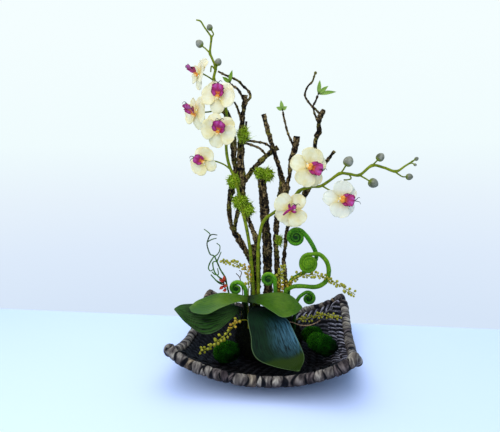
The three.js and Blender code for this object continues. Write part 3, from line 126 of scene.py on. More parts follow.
# a tube: a ring of points round every point of the path, at a distance that may change along and around, and
# a fan over each end
def tubeShape(path, radius, sides=8):
    path = np.asarray(path, float)
    _, first, second = pathFrames(path)
    turn = ringAngles(sides)
    reach = np.broadcast_to(np.asarray(radius, float).reshape(len(path), -1), (len(path), sides))
    grid = path[:, None] + first[:, None] * (reach * np.cos(turn))[..., None]
    grid += second[:, None] * (reach * np.sin(turn))[..., None]
    n, k, last = grid.shape[0] * sides, np.arange(sides), (len(path) - 1) * sides
    after, none = (k + 1) % sides, 0 * k - 1
    points = np.vstack([grid.reshape(-1, 3), path[:1], path[-1:]])
    ends = np.array([[after, k, 0 * k + n, none], [k + last, after + last, 0 * k + n + 1, none]])
    walls = gridQuads(len(path), sides, False, True)[:, ::-1]
    faces = np.vstack([walls, ends.transpose(0, 2, 1).reshape(-1, 4)])
    far = pathReach(path)
    return {"points": points, "faces": faces, "along": np.append(np.repeat(far, sides), [far[0], far[-1]])}


# a thin sheet: the grid moved half its thickness to either side, with a wall round the edge
def sheetShape(grid, thickness, **values):
    rows, columns = grid.shape[:2]
    normal = np.cross(np.gradient(grid, axis=0), np.gradient(grid, axis=1))
    normal /= np.maximum(np.linalg.norm(normal, axis=2), 1e-9)[..., None]
    half = normal * (np.broadcast_to(thickness, (rows, columns)) / 2)[..., None]
    points = np.vstack([(grid + half).reshape(-1, 3), (grid - half).reshape(-1, 3)])
    quads, n = gridQuads(rows, columns), rows * columns
    place = np.arange(n).reshape(rows, columns)
    edge = np.concatenate([place[0], place[1:, -1], place[-1, -2::-1], place[-2:0:-1, 0]])
    after = np.roll(edge, -1)
    wall = np.stack([edge, after, after + n, edge + n], 1)
    both = {key: np.tile(np.broadcast_to(value, (rows, columns)).ravel(), 2) for key, value in values.items()}
    return {"points": points, "faces": np.vstack([quads, quads[:, ::-1] + n, wall]), **both}


# an egg: rings of a sphere stretched along one direction
def eggShape(centre, ahead, radius, stretch=1.0, rings=6, sides=8):
    t = np.sin(np.linspace(-1, 1, rings) * np.pi / 2)
    ahead = np.asarray(ahead, float) / np.linalg.norm(ahead)
    path = np.asarray(centre, float) + ahead * (t * radius * stretch)[:, None]
    return tubeShape(path, radius * np.maximum(0.02, np.sqrt(1 - t ** 2)), sides)


# the same shape with other values on its points
def withValues(shape, **values):
    return {"points": shape["points"], "faces": shape["faces"], **values}


# several shapes as one; a value that a shape lacks is 0 there
def gather(shapes):
    starts = np.cumsum([0] + [len(s["points"]) for s in shapes])
    out = {"points": np.vstack([s["points"] for s in shapes]),
           "faces": np.vstack([np.where(s["faces"] < 0, -1, s["faces"] + start)
                                for s, start in zip(shapes, starts)])}
    for key in sorted({k for s in shapes for k in s} - {"points", "faces"}):
        out[key] = np.concatenate([np.broadcast_to(s.get(key, 0.0), len(s["points"])) for s in shapes])
    return out


# a shape, in millimetres, as a mesh: every face is a row of four corners, and a triangle's fourth is -1
def fillMesh(name, shape):
    mesh = bpy.data.meshes.new(name)
    faces = shape["faces"]
    corners = (faces >= 0).sum(1)
    mesh.vertices.add(len(shape["points"]))
    mesh.vertices.foreach_set("co", (shape["points"] * mm).ravel())
    mesh.loops.add(int(corners.sum()))
    mesh.loops.foreach_set("vertex_index", faces[faces >= 0].astype(np.int32))
    mesh.polygons.add(len(corners))
    mesh.polygons.foreach_set("loop_start", (np.cumsum(corners) - corners).astype(np.int32))
    mesh.polygons.foreach_set("use_smooth", np.ones(len(corners), bool))
    mesh.update(calc_edges=True)
    return mesh


# writes each named value, one number for every point, into the mesh for its material to read
def setValues(mesh, values):
    for key, value in values.items():
        asFloats = np.ascontiguousarray(value, np.float32)
        mesh.attributes.new(key, "FLOAT", "POINT").data.foreach_set("value", asFloats)


# links a piece, gives it the look of its slot, rides it on the body and hides the CAD nodes it stands for
def finishPiece(piece, slotName, nodes=()):
    bpy.context.scene.collection.objects.link(piece)
    piece.data.materials.append(looks[slotName])
    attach(piece, "root")
    if nodes:
        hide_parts(*nodes)


# a piece from a shape: its mesh, the values on its points and its look
def newPiece(name, shape, slotName, nodes=()):
    mesh = fillMesh(name, shape)
    setValues(mesh, {key: value for key, value in shape.items() if key not in ("points", "faces")})
    finishPiece(bpy.data.objects.new(name, mesh), slotName, nodes)


# a rounder copy of a CAD node: merged, remeshed in small cells and smoothed, and then pushed in and out by
# noise
def roundCopy(name, node, cell, smoothing, layers, seed):
    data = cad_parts[node].data
    co, corner = np.empty(len(data.vertices) * 3), np.empty(len(data.loops), np.int32)
    data.vertices.foreach_get("co", co)
    data.loops.foreach_get("vertex_index", corner)
    faces = np.column_stack([corner.reshape(-1, 3), np.full(len(corner) // 3, -1)])
    mesh = fillMesh(name, {"points": co.reshape(-1, 3) / mm, "faces": faces})
    raw = bpy.data.objects.new(name + "_raw", mesh)
    bpy.context.scene.collection.objects.link(raw)
    weld = raw.modifiers.new("weld", "WELD")
    weld.merge_threshold = 2e-6
    remesh = raw.modifiers.new("remesh", "REMESH")
    remesh.mode, remesh.voxel_size = "VOXEL", cell * mm
    soften = raw.modifiers.new("soften", "SMOOTH")
    soften.factor, soften.iterations = 0.5, smoothing
    done = bpy.data.meshes.new_from_object(raw.evaluated_get(bpy.context.evaluated_depsgraph_get()))
    bpy.data.objects.remove(raw)
    bpy.data.meshes.remove(mesh)
    co, no = np.empty(len(done.vertices) * 3), np.empty(len(done.vertices) * 3)
    done.vertices.foreach_get("co", co)
    done.vertex_normals.foreach_get("vector", no)
    co, no = co.reshape(-1, 3) / mm, no.reshape(-1, 3)
    push = sum(strength * roughNoise(co, size, seed + k) for k, (size, strength) in enumerate(layers))
    co = co + no * push[:, None]
    done.vertices.foreach_set("co", (co * mm).ravel())
    done.polygons.foreach_set("use_smooth", np.ones(len(done.polygons), bool))
    done.update()
    done.name = name
    return done, co, no


# short closed hairs: three corners at each level and one at the tip, leaning and curling by chance; a level
# is a share of the length and a share of the width
def hairShape(roots, normals, rng, length, width, bend, lean, levels, sink=0.4):
    levels = np.array(levels, float)
    n = len(roots)
    size = length * (0.6 + 0.8 * rng.random(n))[:, None]
    ahead = normals + lean * rng.normal(size=(n, 3))
    ahead /= np.linalg.norm(ahead, axis=1)[:, None]
    side = np.cross(ahead, rng.normal(size=(n, 3)))
    side /= np.linalg.norm(side, axis=1)[:, None]
    third = np.cross(ahead, side)
    curl = side * (bend * rng.normal(size=(n, 1))) + third * (bend * rng.normal(size=(n, 1)))
    turn = 2 * np.pi * np.arange(3) / 3
    ring = (side[:, None] * np.cos(turn)[:, None] + third[:, None] * np.sin(turn)[:, None]) * width
    at = levels[:, :1]
    middle = roots[:, None] + ahead[:, None] * (size[:, None] * at - sink)
    middle = middle + curl[:, None] * size[:, None] * at ** 2
    rings = middle[:, :, None] + ring[:, None] * levels[:, 1][:, None, None]
    tip = roots + ahead * (size - sink) + curl * size * 1.05
    top = 3 * len(levels)
    points = np.concatenate([rings.reshape(n, top, 3), tip[:, None]], 1).reshape(-1, 3)
    one = [[0, 2, 1, -1],
           [top - 3, top - 2, top, -1], [top - 2, top - 1, top, -1], [top - 1, top - 3, top, -1]]
    for k in range(0, top - 3, 3):
        one += [[k, k + 1, k + 4, k + 3], [k + 1, k + 2, k + 5, k + 4], [k + 2, k, k + 3, k + 5]]
    faces = np.where(np.array(one) < 0, -1, one + (np.arange(n) * (top + 1))[:, None, None]).reshape(-1, 4)
    rise = np.tile(np.append(np.repeat(levels[:, 0], 3), 1.0), n)
    return {"points": points, "faces": faces, "tone": np.repeat(rng.random(n), top + 1), "rise": rise}


class Look:
    # a material with a shader at its end and short ways to add nodes
    def __init__(self, name, rough=0.6, sheen=0.0, specular=0.5):
        self.material = bpy.data.materials.new(name)
        self.material.use_nodes = True
        self.tree = self.material.node_tree
        self.shader = self.tree.nodes["Principled BSDF"]
        for key, value in (("Roughness", rough), ("Sheen Weight", sheen), ("Specular IOR Level", specular)):
            self.shader.inputs[key].default_value = value

    # links a socket to another node, or sets it to a plain value
    def put(self, socket, value):
        if isinstance(value, bpy.types.NodeSocket):
            self.tree.links.new(value, socket)
        else:
            socket.default_value = value

    # a node with its settings and its inputs filled
    def add(self, kind, inputs, **settings):
        node = self.tree.nodes.new(kind)
        for key, value in settings.items():
            setattr(node, key, value)
        for key, value in inputs.items():
            self.put(node.inputs[key], value)
        return node

    # the point's place in metres, times the stretch
    def place(self, stretch=(1, 1, 1)):
        where = self.add("ShaderNodeTexCoord", {}).outputs["Object"]
        return self.add("ShaderNodeMapping", {"Scale": stretch, "Vector": where}).outputs["Vector"]

    # a value that the mesh carries on its points
    def value(self, name):
        return self.add("ShaderNodeAttribute", {}, attribute_name=name).outputs["Fac"]

    # cloudy noise from 0 to 1
    def noise(self, scale, detail=3.0, rough=0.55, where=None, twist=0.0):
        inputs = {"Scale": scale, "Detail": detail, "Roughness": rough, "Distortion": twist}
        return self.add("ShaderNodeTexNoise", {**inputs, "Vector": where or self.place()}).outputs["Fac"]

    # a place for noise, made of single values
    def joinXyz(self, x, y, z=0.0):
        return self.add("ShaderNodeCombineXYZ", {"X": x, "Y": y, "Z": z}).outputs["Vector"]

    # one step of arithmetic on values
    def calc(self, kind, a, b=0.0):
        return self.add("ShaderNodeMath", {0: a, 1: b}, operation=kind).outputs["Value"]

    # a product of two values
    def times(self, a, b):
        return self.calc("MULTIPLY", a, b)

    # a colour for every value, blended between stops
    def ramp(self, value, stops):
        node = self.add("ShaderNodeValToRGB", {"Fac": value})
        elements = node.color_ramp.elements
        while len(elements) < len(stops):
            elements.new(0.5)
        for element, (at, colour) in zip(elements, stops):
            element.position, element.color = at, (*colour, 1)
        return node.outputs["Color"]

    # 0 at low, 1 at high and straight between them
    def grey(self, value, low, high):
        inputs = {"Value": value, "From Min": low, "From Max": high}
        return self.add("ShaderNodeMapRange", inputs).outputs["Result"]

    # the colour a, going over to b as the share grows
    def mix(self, share, a, b, kind="MIX"):
        colours = {k: c if isinstance(c, bpy.types.NodeSocket) else (*c, 1) for k, c in ((6, a), (7, b))}
        return self.add("ShaderNodeMix", {0: share, **colours}, data_type="RGBA", blend_type=kind).outputs[2]

    # a colour darkened by another
    def stain(self, colour, tone):
        return self.mix(1.0, colour, tone, "MULTIPLY")

    # fine relief by shading alone, on top of what came before
    def bump(self, height, strength, depth, before=None):
        inputs = {"Strength": strength, "Distance": depth, "Height": height}
        if before:
            inputs["Normal"] = before
        return self.add("ShaderNodeBump", inputs).outputs["Normal"]

    # joins what was made to the shader and gives the material back
    def finish(self, colour, normal=None, roughness=None):
        for key, value in (("Base Color", colour), ("Normal", normal), ("Roughness", roughness)):
            if value:
                self.put(self.shader.inputs[key], value)
        return self.material


# linear colour from the three bytes that a colour picker shows
def tint(red, green, blue):
    return tuple((c / 255 / 12.92) if c <= 10 else ((c / 255 + 0.055) / 1.055) ** 2.4
                 for c in (red, green, blue))


# strands with fibres along them, painted shade black in the gaps and a painted highlight pale on the crests,
# and painted shade low in the tray and towards the front and the left
def wovenLook():
    look = Look("weave_rope", rough=0.6, specular=0.07)
    strand = look.value("strand")
    where = look.joinXyz(look.times(look.value("phase"), 2.2), look.times(look.value("along"), 0.02),
                         look.value("row"))
    fibre = look.noise(1.3, 3, 0.5, where, 0.2)
    patch = look.noise(30, 3)
    colour = look.ramp(fibre, [(0.34, tint(30, 25, 31)), (0.47, tint(58, 52, 60)),
                               (0.57, tint(96, 89, 94)), (0.68, tint(152, 144, 148))])
    colour = look.mix(look.grey(patch, 0.46, 0.66), colour, look.stain(colour, tint(200, 176, 140)))
    colour = look.mix(look.grey(look.noise(17, 2), 0.42, 0.6),
                      look.stain(colour, tint(120, 112, 130)), colour)
    # painted highlight: pale on the crests of the strands; painted shade: black in the gaps between them
    crestHighlight = look.times(look.grey(strand, 0.8, 1.0), look.grey(fibre, 0.4, 0.6))
    colour = look.mix(look.times(crestHighlight, 0.9), colour, tint(186, 178, 184))
    colour = look.mix(look.grey(strand, 0.8, 0.46), colour, tint(1, 1, 2))
    # painted shade: low in the tray and towards the front and the left the colour goes almost black
    colour = look.mix(look.value("deep"), colour, look.mix(0.97, colour, tint(3, 2, 2)))
    return look.finish(colour, look.bump(fibre, 0.35, 0.001), look.grey(fibre, 1.1, 0.1))


# flat leaf strips with creases the way they are wrapped, violet grey in patches, with painted shade on the
# lower side and painted shade near black in the grooves between strips
def rimLook():
    look = Look("rim_wrap", rough=0.6, specular=0.08)
    strip = look.value("strip")
    where = look.joinXyz(look.times(look.value("across"), 1.2), look.times(look.value("around"), 0.035),
                         look.times(strip, 30))
    crease = look.noise(1.5, 3, 0.5, where, 0.3)
    spots = look.noise(190, 3, 0.6)
    colour = look.ramp(crease, [(0.32, tint(52, 44, 42)), (0.48, tint(106, 95, 84)),
                                (0.68, tint(182, 168, 146))])
    colour = look.mix(look.grey(strip, 0.25, 1.0), colour, look.stain(colour, tint(132, 120, 134)))
    colour = look.mix(look.grey(strip, 0.16, 0.0), colour, look.stain(colour, tint(200, 180, 150)))
    colour = look.mix(look.times(look.grey(spots, 0.56, 0.74), 0.15), colour, tint(50, 42, 52))
    # painted shade on the rim's lower side
    colour = look.mix(look.times(look.value("paintedUnderShade"), 0.85), colour, look.stain(colour, tint(96, 84, 104)))
    # painted shade: the grooves between strips go near black
    colour = look.mix(look.value("gap"), colour, tint(4, 3, 6))
    return look.finish(colour, look.bump(crease, 0.25, 0.0008, look.bump(spots, 0.12, 0.0003)),
                       look.grey(crease, 1.0, 0.1))


# cracked bark: dark, with pale worn ridges, gold-olive moss in patches and painted shade in its hollows
def barkLook(name, mossy=0.3, light=1.0):
    look = Look(name, rough=0.85, specular=0.1)
    crust = look.noise(330, 4, 0.7)
    flow = look.noise(120, 4, 0.6, look.place((1, 1, 0.3)))
    moss = look.noise(42, 3, 0.6)
    dark, mid, pale = ((8, 5, 2), (50, 36, 19), (164, 134, 84))
    colour = look.ramp(look.calc("ADD", look.times(crust, 0.55), look.times(flow, 0.45)),
                       [(0.42, tint(*dark)), (0.5, tint(*[c * light for c in mid])),
                        (0.6, tint(*[c * light for c in pale]))])
    colour = look.mix(look.grey(moss, 0.64 - 0.25 * mossy, 0.78 - 0.25 * mossy), colour,
                      look.mix(look.grey(crust, 0.4, 0.6), tint(46, 44, 8), tint(142, 130, 46)))
    # painted shade: near black where the bark is pushed in
    colour = look.mix(look.grey(look.value("push"), 0.1, -1.0), colour, tint(5, 3, 3))
    return look.finish(colour, look.bump(crust, 1.0, 0.0016))


# moss or fibre: a colour for the root, the middle and the tip, each hair a little lighter or darker than the
# next
def mossLook(name, root, middle, tip):
    look = Look(name, 0.9, specular=0.05)
    colour = look.ramp(look.value("rise"), [(0.0, root), (0.55, middle), (1.0, tip)])
    colour = look.mix(look.value("tone"), look.stain(colour, tint(180, 180, 170)), colour)
    colour = look.mix(look.grey(look.noise(60, 3), 0.35, 0.6), look.mix(0.4, colour, root), colour)
    return look.finish(colour, look.bump(look.noise(700, 3), 0.5, 0.0008))


# cream petals with fine veins, yellow near the root and in patches towards the edge; some blooms are whiter
def petalLook():
    look = Look("petal", rough=0.6, specular=0.2)
    reach, side = look.value("reach"), look.value("side")
    where = look.joinXyz(look.times(reach, 0.8), look.times(side, 3.0), look.value("leafTurn"))
    vein = look.noise(2.6, 2, 0.5, where, 0.2)
    cloud, patch = look.noise(62, 3), look.noise(38, 2)
    colour = look.mix(look.grey(cloud, 0.36, 0.64), tint(232, 208, 122), tint(244, 231, 178))
    colour = look.mix(look.times(look.grey(vein, 0.5, 0.7), 0.3), colour, tint(228, 202, 110))
    root = look.times(look.grey(reach, 0.42, 0.04), 0.85)
    colour = look.mix(root, colour,
                      look.mix(look.grey(patch, 0.4, 0.6), tint(214, 190, 84), tint(236, 214, 128)))
    edge = look.calc("MAXIMUM", look.grey(look.calc("ABSOLUTE", side), 0.74, 1.0),
                     look.grey(reach, 0.84, 1.0))
    colour = look.mix(look.times(look.times(edge, look.grey(patch, 0.42, 0.58)), 0.65), colour,
                      tint(226, 192, 100))
    colour = look.mix(look.times(look.value("white"), look.grey(reach, 0.1, 0.5)), colour,
                      tint(238, 230, 202))
    return look.finish(colour, look.bump(vein, 0.15, 0.0007))


# the lip: orange in the throat, magenta with painted violet highlights, nearly black on the edge and the
# curls
def lipLook():
    look = Look("lip", rough=0.4, sheen=0.1, specular=0.3)
    reach = look.value("reach")
    cloud, fleck = look.noise(150, 3), look.noise(480, 3)
    colour = look.ramp(reach, [(0.0, tint(240, 158, 36)), (0.14, tint(226, 110, 36)),
                               (0.26, tint(162, 8, 66)), (0.6, tint(172, 12, 92)), (0.86, tint(140, 6, 60)),
                               (0.95, tint(74, 6, 38)), (1.0, tint(26, 8, 22))])
    # painted highlights: violet clouds over the middle of the lip
    light = look.times(look.grey(cloud, 0.5, 0.66), look.grey(reach, 0.24, 0.36))
    light = look.times(light, look.grey(reach, 0.9, 0.8))
    colour = look.mix(look.times(light, 0.4), colour, tint(200, 84, 170))
    colour = look.mix(look.times(look.grey(fleck, 0.55, 0.7), 0.6), colour, tint(96, 4, 44))
    # painted highlight: pale pink streaks where the shine value says
    colour = look.mix(look.value("shine"), colour, tint(222, 118, 196))
    colour = look.mix(look.value("pale"), colour, tint(252, 232, 150))
    return look.finish(colour, look.bump(cloud, 0.4, 0.0008, look.bump(fleck, 0.3, 0.0004)))


# a leaf with fine ribs that run its whole length, painted shade at its root, a clear edge and, where
# given, another tint at its tip and painted light in stripes over the far half of its middle
def leafLook(name, base, dark, pale, rough, stripes, depth=0.6, shine=0.12, tipTint=None, paintedLightTint=None):
    look = Look(name, rough, specular=shine)
    reach, side = look.value("reach"), look.value("side")
    where = look.joinXyz(look.times(reach, 0.6), look.times(side, 1.0))
    stripe = look.noise(stripes, 3, 0.6, where)
    cloud = look.noise(20, 3)
    colour = look.mix(look.times(look.grey(stripe, 0.4, 0.64), depth), base, dark)
    colour = look.mix(look.times(look.grey(cloud, 0.42, 0.7), 0.6), colour, pale)
    # painted light: a painted sky reflection on the teal leaf, and on the dark leaf dark stripes that are
    # partly its ribs and partly painted shade from the leaf above
    if paintedLightTint:
        middle = look.grey(look.calc("ABSOLUTE", look.calc("SUBTRACT", reach, 0.52)), 0.3, 0.08)
        far = look.times(look.times(look.grey(side, -0.3, 0.9), middle), look.grey(stripe, 0.66, 0.4))
        colour = look.mix(look.times(far, 0.95), colour, paintedLightTint)
    if tipTint:
        tip = look.grey(look.calc("ADD", reach, look.times(cloud, 0.12)), 0.8, 0.86)
        colour = look.mix(tip, colour, tipTint)
    # painted shade: near black at the root, where the leaves meet in shadow, and on stalks that have no reach
    colour = look.mix(look.times(look.grey(reach, 0.24, 0.02), 0.93), colour, tint(2, 5, 1))
    edge = look.calc("MAXIMUM", look.grey(look.calc("ABSOLUTE", side), 0.955, 0.99),
                     look.grey(reach, 0.985, 1.0))
    edge = look.times(edge, look.grey(reach, 0.1, 0.2))
    colour = look.mix(look.times(edge, 0.3), colour, tint(130, 156, 96))
    return look.finish(colour, look.bump(stripe, 0.4, 0.0006))


# a stem or bead: two greens in clouds with light flecks; buds are grey with pale and lilac bloom
def stemLook(name, base, shade, light, rough=0.5, spots=300.0, sheen=0.0):
    look = Look(name, rough=rough, specular=0.12, sheen=0.3 * sheen)
    grain = look.noise(spots, 3)
    colour = look.mix(look.grey(look.noise(50, 3), 0.38, 0.66), shade, base)
    colour = look.mix(look.times(look.grey(grain, 0.5, 0.72), 0.65), colour, light)
    budColour = look.mix(look.grey(look.noise(90, 3), 0.36, 0.68), tint(92, 92, 66), tint(152, 146, 124))
    colour = look.mix(look.value("bud"), colour, budColour)
    colour = look.mix(look.value("ripe"), colour,
                      look.mix(look.grey(grain, 0.4, 0.65), tint(132, 76, 14), tint(196, 140, 30)))
    # pale for real hairs and bloom, and on the coils also a painted highlight on top
    colour = look.mix(look.value("fuzz"), colour, light)
    # painted shade: near-black green where the shade value says, in the coils' inner turns, on their discs
    # and below the leaves
    colour = look.mix(look.value("shade"), colour, look.mix(0.75, shade, (0.0, 0.004, 0.0)))
    return look.finish(colour, look.bump(grain, 0.4, 0.0005))


looks = {
    "weave": wovenLook(),
    "rim": rimLook(),
    "bark": barkLook("bark", 0.45),
    "mossy_bark": barkLook("post_bark", 0.3, 0.9),
    "petal": petalLook(),
    "lip": lipLook(),
    "leaf_bright": leafLook("leaf_bright", tint(62, 98, 4), tint(28, 58, 1), tint(100, 126, 26),
                            0.38, 16, 0.65, 0.16),
    "leaf_dark": leafLook("leaf_dark", tint(42, 78, 20), tint(1, 5, 1), tint(72, 100, 44), 0.45, 9, 1.0, 0.08,
                          paintedLightTint=tint(1, 4, 2)),
    "leaf_teal": leafLook("leaf_teal", tint(8, 32, 14), tint(0, 3, 1), tint(14, 42, 20), 0.36, 14, 0.8, 0.06,
                          tint(34, 50, 6), tint(66, 104, 118)),
    "spike": stemLook("spike_green", tint(122, 132, 6), tint(80, 96, 4), tint(164, 158, 30)),
    "crosier": stemLook("crosier_green", tint(62, 126, 8), tint(34, 92, 4), tint(140, 186, 30),
                        0.5, 420, 0.1),
    "crosier_lime": stemLook("crosier_lime", tint(90, 132, 3), tint(62, 106, 2), tint(142, 174, 20),
                             0.55, 500, 0.1),
    "berry": stemLook("berry", tint(158, 148, 24), tint(112, 112, 10), tint(206, 190, 76), 0.4, 260),
    "tuft": leafLook("tuft_leaf", tint(118, 150, 40), tint(78, 110, 20), tint(172, 192, 100), 0.5, 9),
    "tendril": stemLook("tendril", tint(72, 112, 34), tint(22, 46, 10), tint(112, 134, 78), 0.7),
    "red_leaf": leafLook("red_leaf", tint(190, 40, 28), tint(120, 18, 18), tint(214, 92, 60), 0.5, 8),
    "vine": stemLook("vine", tint(156, 120, 84), tint(108, 78, 54), tint(200, 172, 132), 0.7),
    "foam": mossLook("foam_green", tint(30, 52, 26), tint(44, 78, 40), tint(60, 96, 52)),
    # the mound's moss is near black: partly its own dark colour, partly painted shade from the leaves above
    "moss": mossLook("mound_moss", tint(2, 3, 1), tint(16, 20, 6), tint(64, 66, 24)),
    "stone_moss": mossLook("stone_moss", tint(1, 9, 1), tint(34, 112, 10), tint(124, 216, 44)),
    "clump": mossLook("clump_moss", tint(44, 80, 2), tint(176, 214, 18), tint(240, 250, 100)),
}
print("materials made:", len(looks))


tray = {"half": 178.0, "squareness": 14.0, "roundness": 2.4, "sideHeight": 34.0, "cornerHeight": 85.0,
        "cornerSharpness": 2.2, "flatShare": 0.4, "wallCurve": 1.6, "wall": 9.0, "rimGap": 9.1}
# a rope's depth is the painted shade it gets low in the tray; the lowest of the wall's ropes comes first
ropes = {"points": 780, "rows": 6, "thick": 6.2, "overlap": 1.2, "strands": 3, "lay": 48.0,
         "sides": [12, 12, 16, 16, 16, 16], "depth": [1, 1, 1, 0.85, 0.45, 0.1], "floorRows": 5,
         "floorThick": 4.4, "floorOverlap": 1.25, "floorPoints": 66, "coreHalf": 2.6, "corePoints": 160}


# the wall's middle: a rounded square that grows squarer outwards, flat in the middle and rising to a rim that
# is highest at the corners
def trayMiddle(share, turn):
    share, turn = np.broadcast_arrays(np.asarray(share, float), np.asarray(turn, float) % 4)
    side = np.floor(turn)
    straight = 2 * (turn - side) - 1
    along = straight * (1.25 - 0.25 * straight ** 2)
    power = tray["roundness"] + (tray["squareness"] - tray["roundness"]) * share ** 2
    reach = share * tray["half"] / (1 + np.abs(along) ** power) ** (1 / power)
    x, y, angle = reach * along, -reach, side * np.pi / 2
    cornerRise = tray["cornerHeight"] - tray["sideHeight"]
    rim = tray["sideHeight"] + cornerRise * np.abs(along) ** tray["cornerSharpness"]
    rise = np.maximum(0, (share - tray["flatShare"]) / (1 - tray["flatShare"])) ** tray["wallCurve"]
    z = tray["wall"] / 2 + (rim - tray["wall"] / 2) * rise
    return np.stack([x * np.cos(angle) - y * np.sin(angle), x * np.sin(angle) + y * np.cos(angle), z], -1)


# the wall's outward side: the cross product of a step up the wall and a step along it
def trayNormal(share, turn):
    step = 0.004
    out = trayMiddle(share + step, turn) - trayMiddle(share - step, turn)
    along = trayMiddle(share, turn + step) - trayMiddle(share, turn - step)
    normal = np.cross(out, along)
    return normal / np.linalg.norm(normal, axis=-1)[..., None]


# the share where the wall comes within reach of the rim, found by halving
def wallEnd(turn, clear):
    rim = trayMiddle(1.0, turn)
    low, high = np.full(len(turn), 0.7), np.ones(len(turn))
    for _ in range(18):
        share = (low + high) / 2
        far = np.linalg.norm(trayMiddle(share, turn) - rim, axis=1) > clear
        low, high = np.where(far, share, low), np.where(far, high, share)
    return low


# places round the tray an even distance apart along a loop
def evenTurns(share, count):
    fine = np.linspace(0, 4, 1600, endpoint=False)
    p = trayMiddle(share, fine)
    step = np.linalg.norm(np.roll(p, -1, 0) - p, axis=1)
    far = np.concatenate([[0], np.cumsum(step)])
    return np.interp(np.linspace(0, far[-1], count, endpoint=False), far, np.append(fine, 4.0)), far[-1]


# a rope: an oval ring along the loop whose surface has as many bulges as strands, turning once in every lay;
# it gets painted shade low in the tray and towards the front and the left
def ropeShape(share, turns, around, halfHigh, halfThick, row, deep=1.0):
    path = trayMiddle(share, turns)
    _, first, second = pathFrames(path, True, trayNormal(share, turns))
    step = np.linalg.norm(np.roll(path, -1, 0) - path, axis=1)
    far = np.cumsum(step) - step
    lays = max(1, round(step.sum() / ropes["lay"]))
    angle = ringAngles(around)
    phase = (angle[None, :] / (2 * np.pi) + far[:, None] / step.sum() * lays + row * 0.37) * ropes["strands"]
    strand = np.abs(np.cos(np.pi * phase)) ** 0.75
    high = np.broadcast_to(np.reshape(halfHigh, (-1, 1)), phase.shape)
    arm = (first[:, None] * (halfThick * np.cos(angle))[..., None]
           + second[:, None] * (high * np.sin(angle))[..., None])
    wobble = lumpNoise((path[:, None] + arm).reshape(-1, 3), 11.0, row).reshape(phase.shape)
    grid = path[:, None] + arm * (0.5 + 0.48 * strand + 0.05 * wobble)[..., None]
    grid[..., 2] = np.maximum(grid[..., 2], 0.05)
    # painted shade towards the front and the left, where the tray's inside lies in shadow
    front, left = np.clip((-70 - grid[..., 1]) / 60, 0, 0.85), np.clip((-30 - grid[..., 0]) / 70, 0, 0.9)
    deep = np.clip(deep + front + left, 0, 1)
    return {"points": grid.reshape(-1, 3), "faces": gridQuads(len(path), around, True, True)[:, ::-1],
            "strand": strand.ravel(), "along": np.repeat(far, around), "phase": phase.ravel(),
            "row": np.full(phase.size, row * 1.7), "deep": deep.ravel()}


# the wall's ropes, one over the other; the floor's ropes, one round the other; and a thin core that closes
# what lies between
def makeTray():
    turns, _ = evenTurns(0.92, ropes["points"])
    end = wallEnd(turns, tray["rimGap"])
    flat, rows = tray["flatShare"], ropes["rows"]
    wall, floor = [], []
    for k in range(rows):
        low, middle, high = (flat + (end - flat) * (k + part) / rows for part in (0, 0.5, 1))
        tall = np.linalg.norm(trayMiddle(high, turns) - trayMiddle(low, turns), axis=1)
        wall.append(ropeShape(middle, turns, ropes["sides"][k], tall / 2 * ropes["overlap"], ropes["thick"],
                              k, ropes["depth"][k]))
    newPiece("tray_ropes_low", gather(wall[:3]), "weave", ["tray_weave"])
    newPiece("tray_ropes_high", gather(wall[3:]), "weave")
    pitch = flat / ropes["floorRows"]
    for k in range(ropes["floorRows"]):
        share = pitch * (k + 0.5)
        loop, _ = evenTurns(share, max(24, int(ropes["floorPoints"] * (k + 0.6))))
        high = tray["half"] * pitch / 2 * ropes["floorOverlap"]
        floor.append(ropeShape(share, loop, 12, high, ropes["floorThick"], k + 11))
    count = ropes["corePoints"]
    loop, _ = evenTurns(0.6, count)
    shares = np.linspace(0.012, 1, 14)[:, None]
    core = trayMiddle(np.minimum(shares, wallEnd(loop, 8.0)[None, :]), loop[None, :])
    inward = ropes["coreHalf"] * trayNormal(np.maximum(shares, 0.02), loop[None, :])
    grid = np.concatenate([core + inward, (core - inward)[::-1]])
    grid[..., 2] = np.maximum(grid[..., 2], 0.1)
    faces = gridQuads(len(grid), count, True, True)
    # the core has no strand bulge, so it is painted black as shade in the gaps, and it gets full painted
    # shade
    floor.append({"points": grid.reshape(-1, 3), "faces": faces, "strand": 0.0, "deep": 1.0})
    newPiece("tray_floor_ropes", gather(floor), "weave")


rim = {"radius": 10.9, "core": 7.7, "strips": 86, "around": 26, "along": 1600, "slant": 8, "overlap": 1.25,
       "layerHigh": 1.3, "domeHigh": 1.9, "groove": 0.9, "seed": 5}
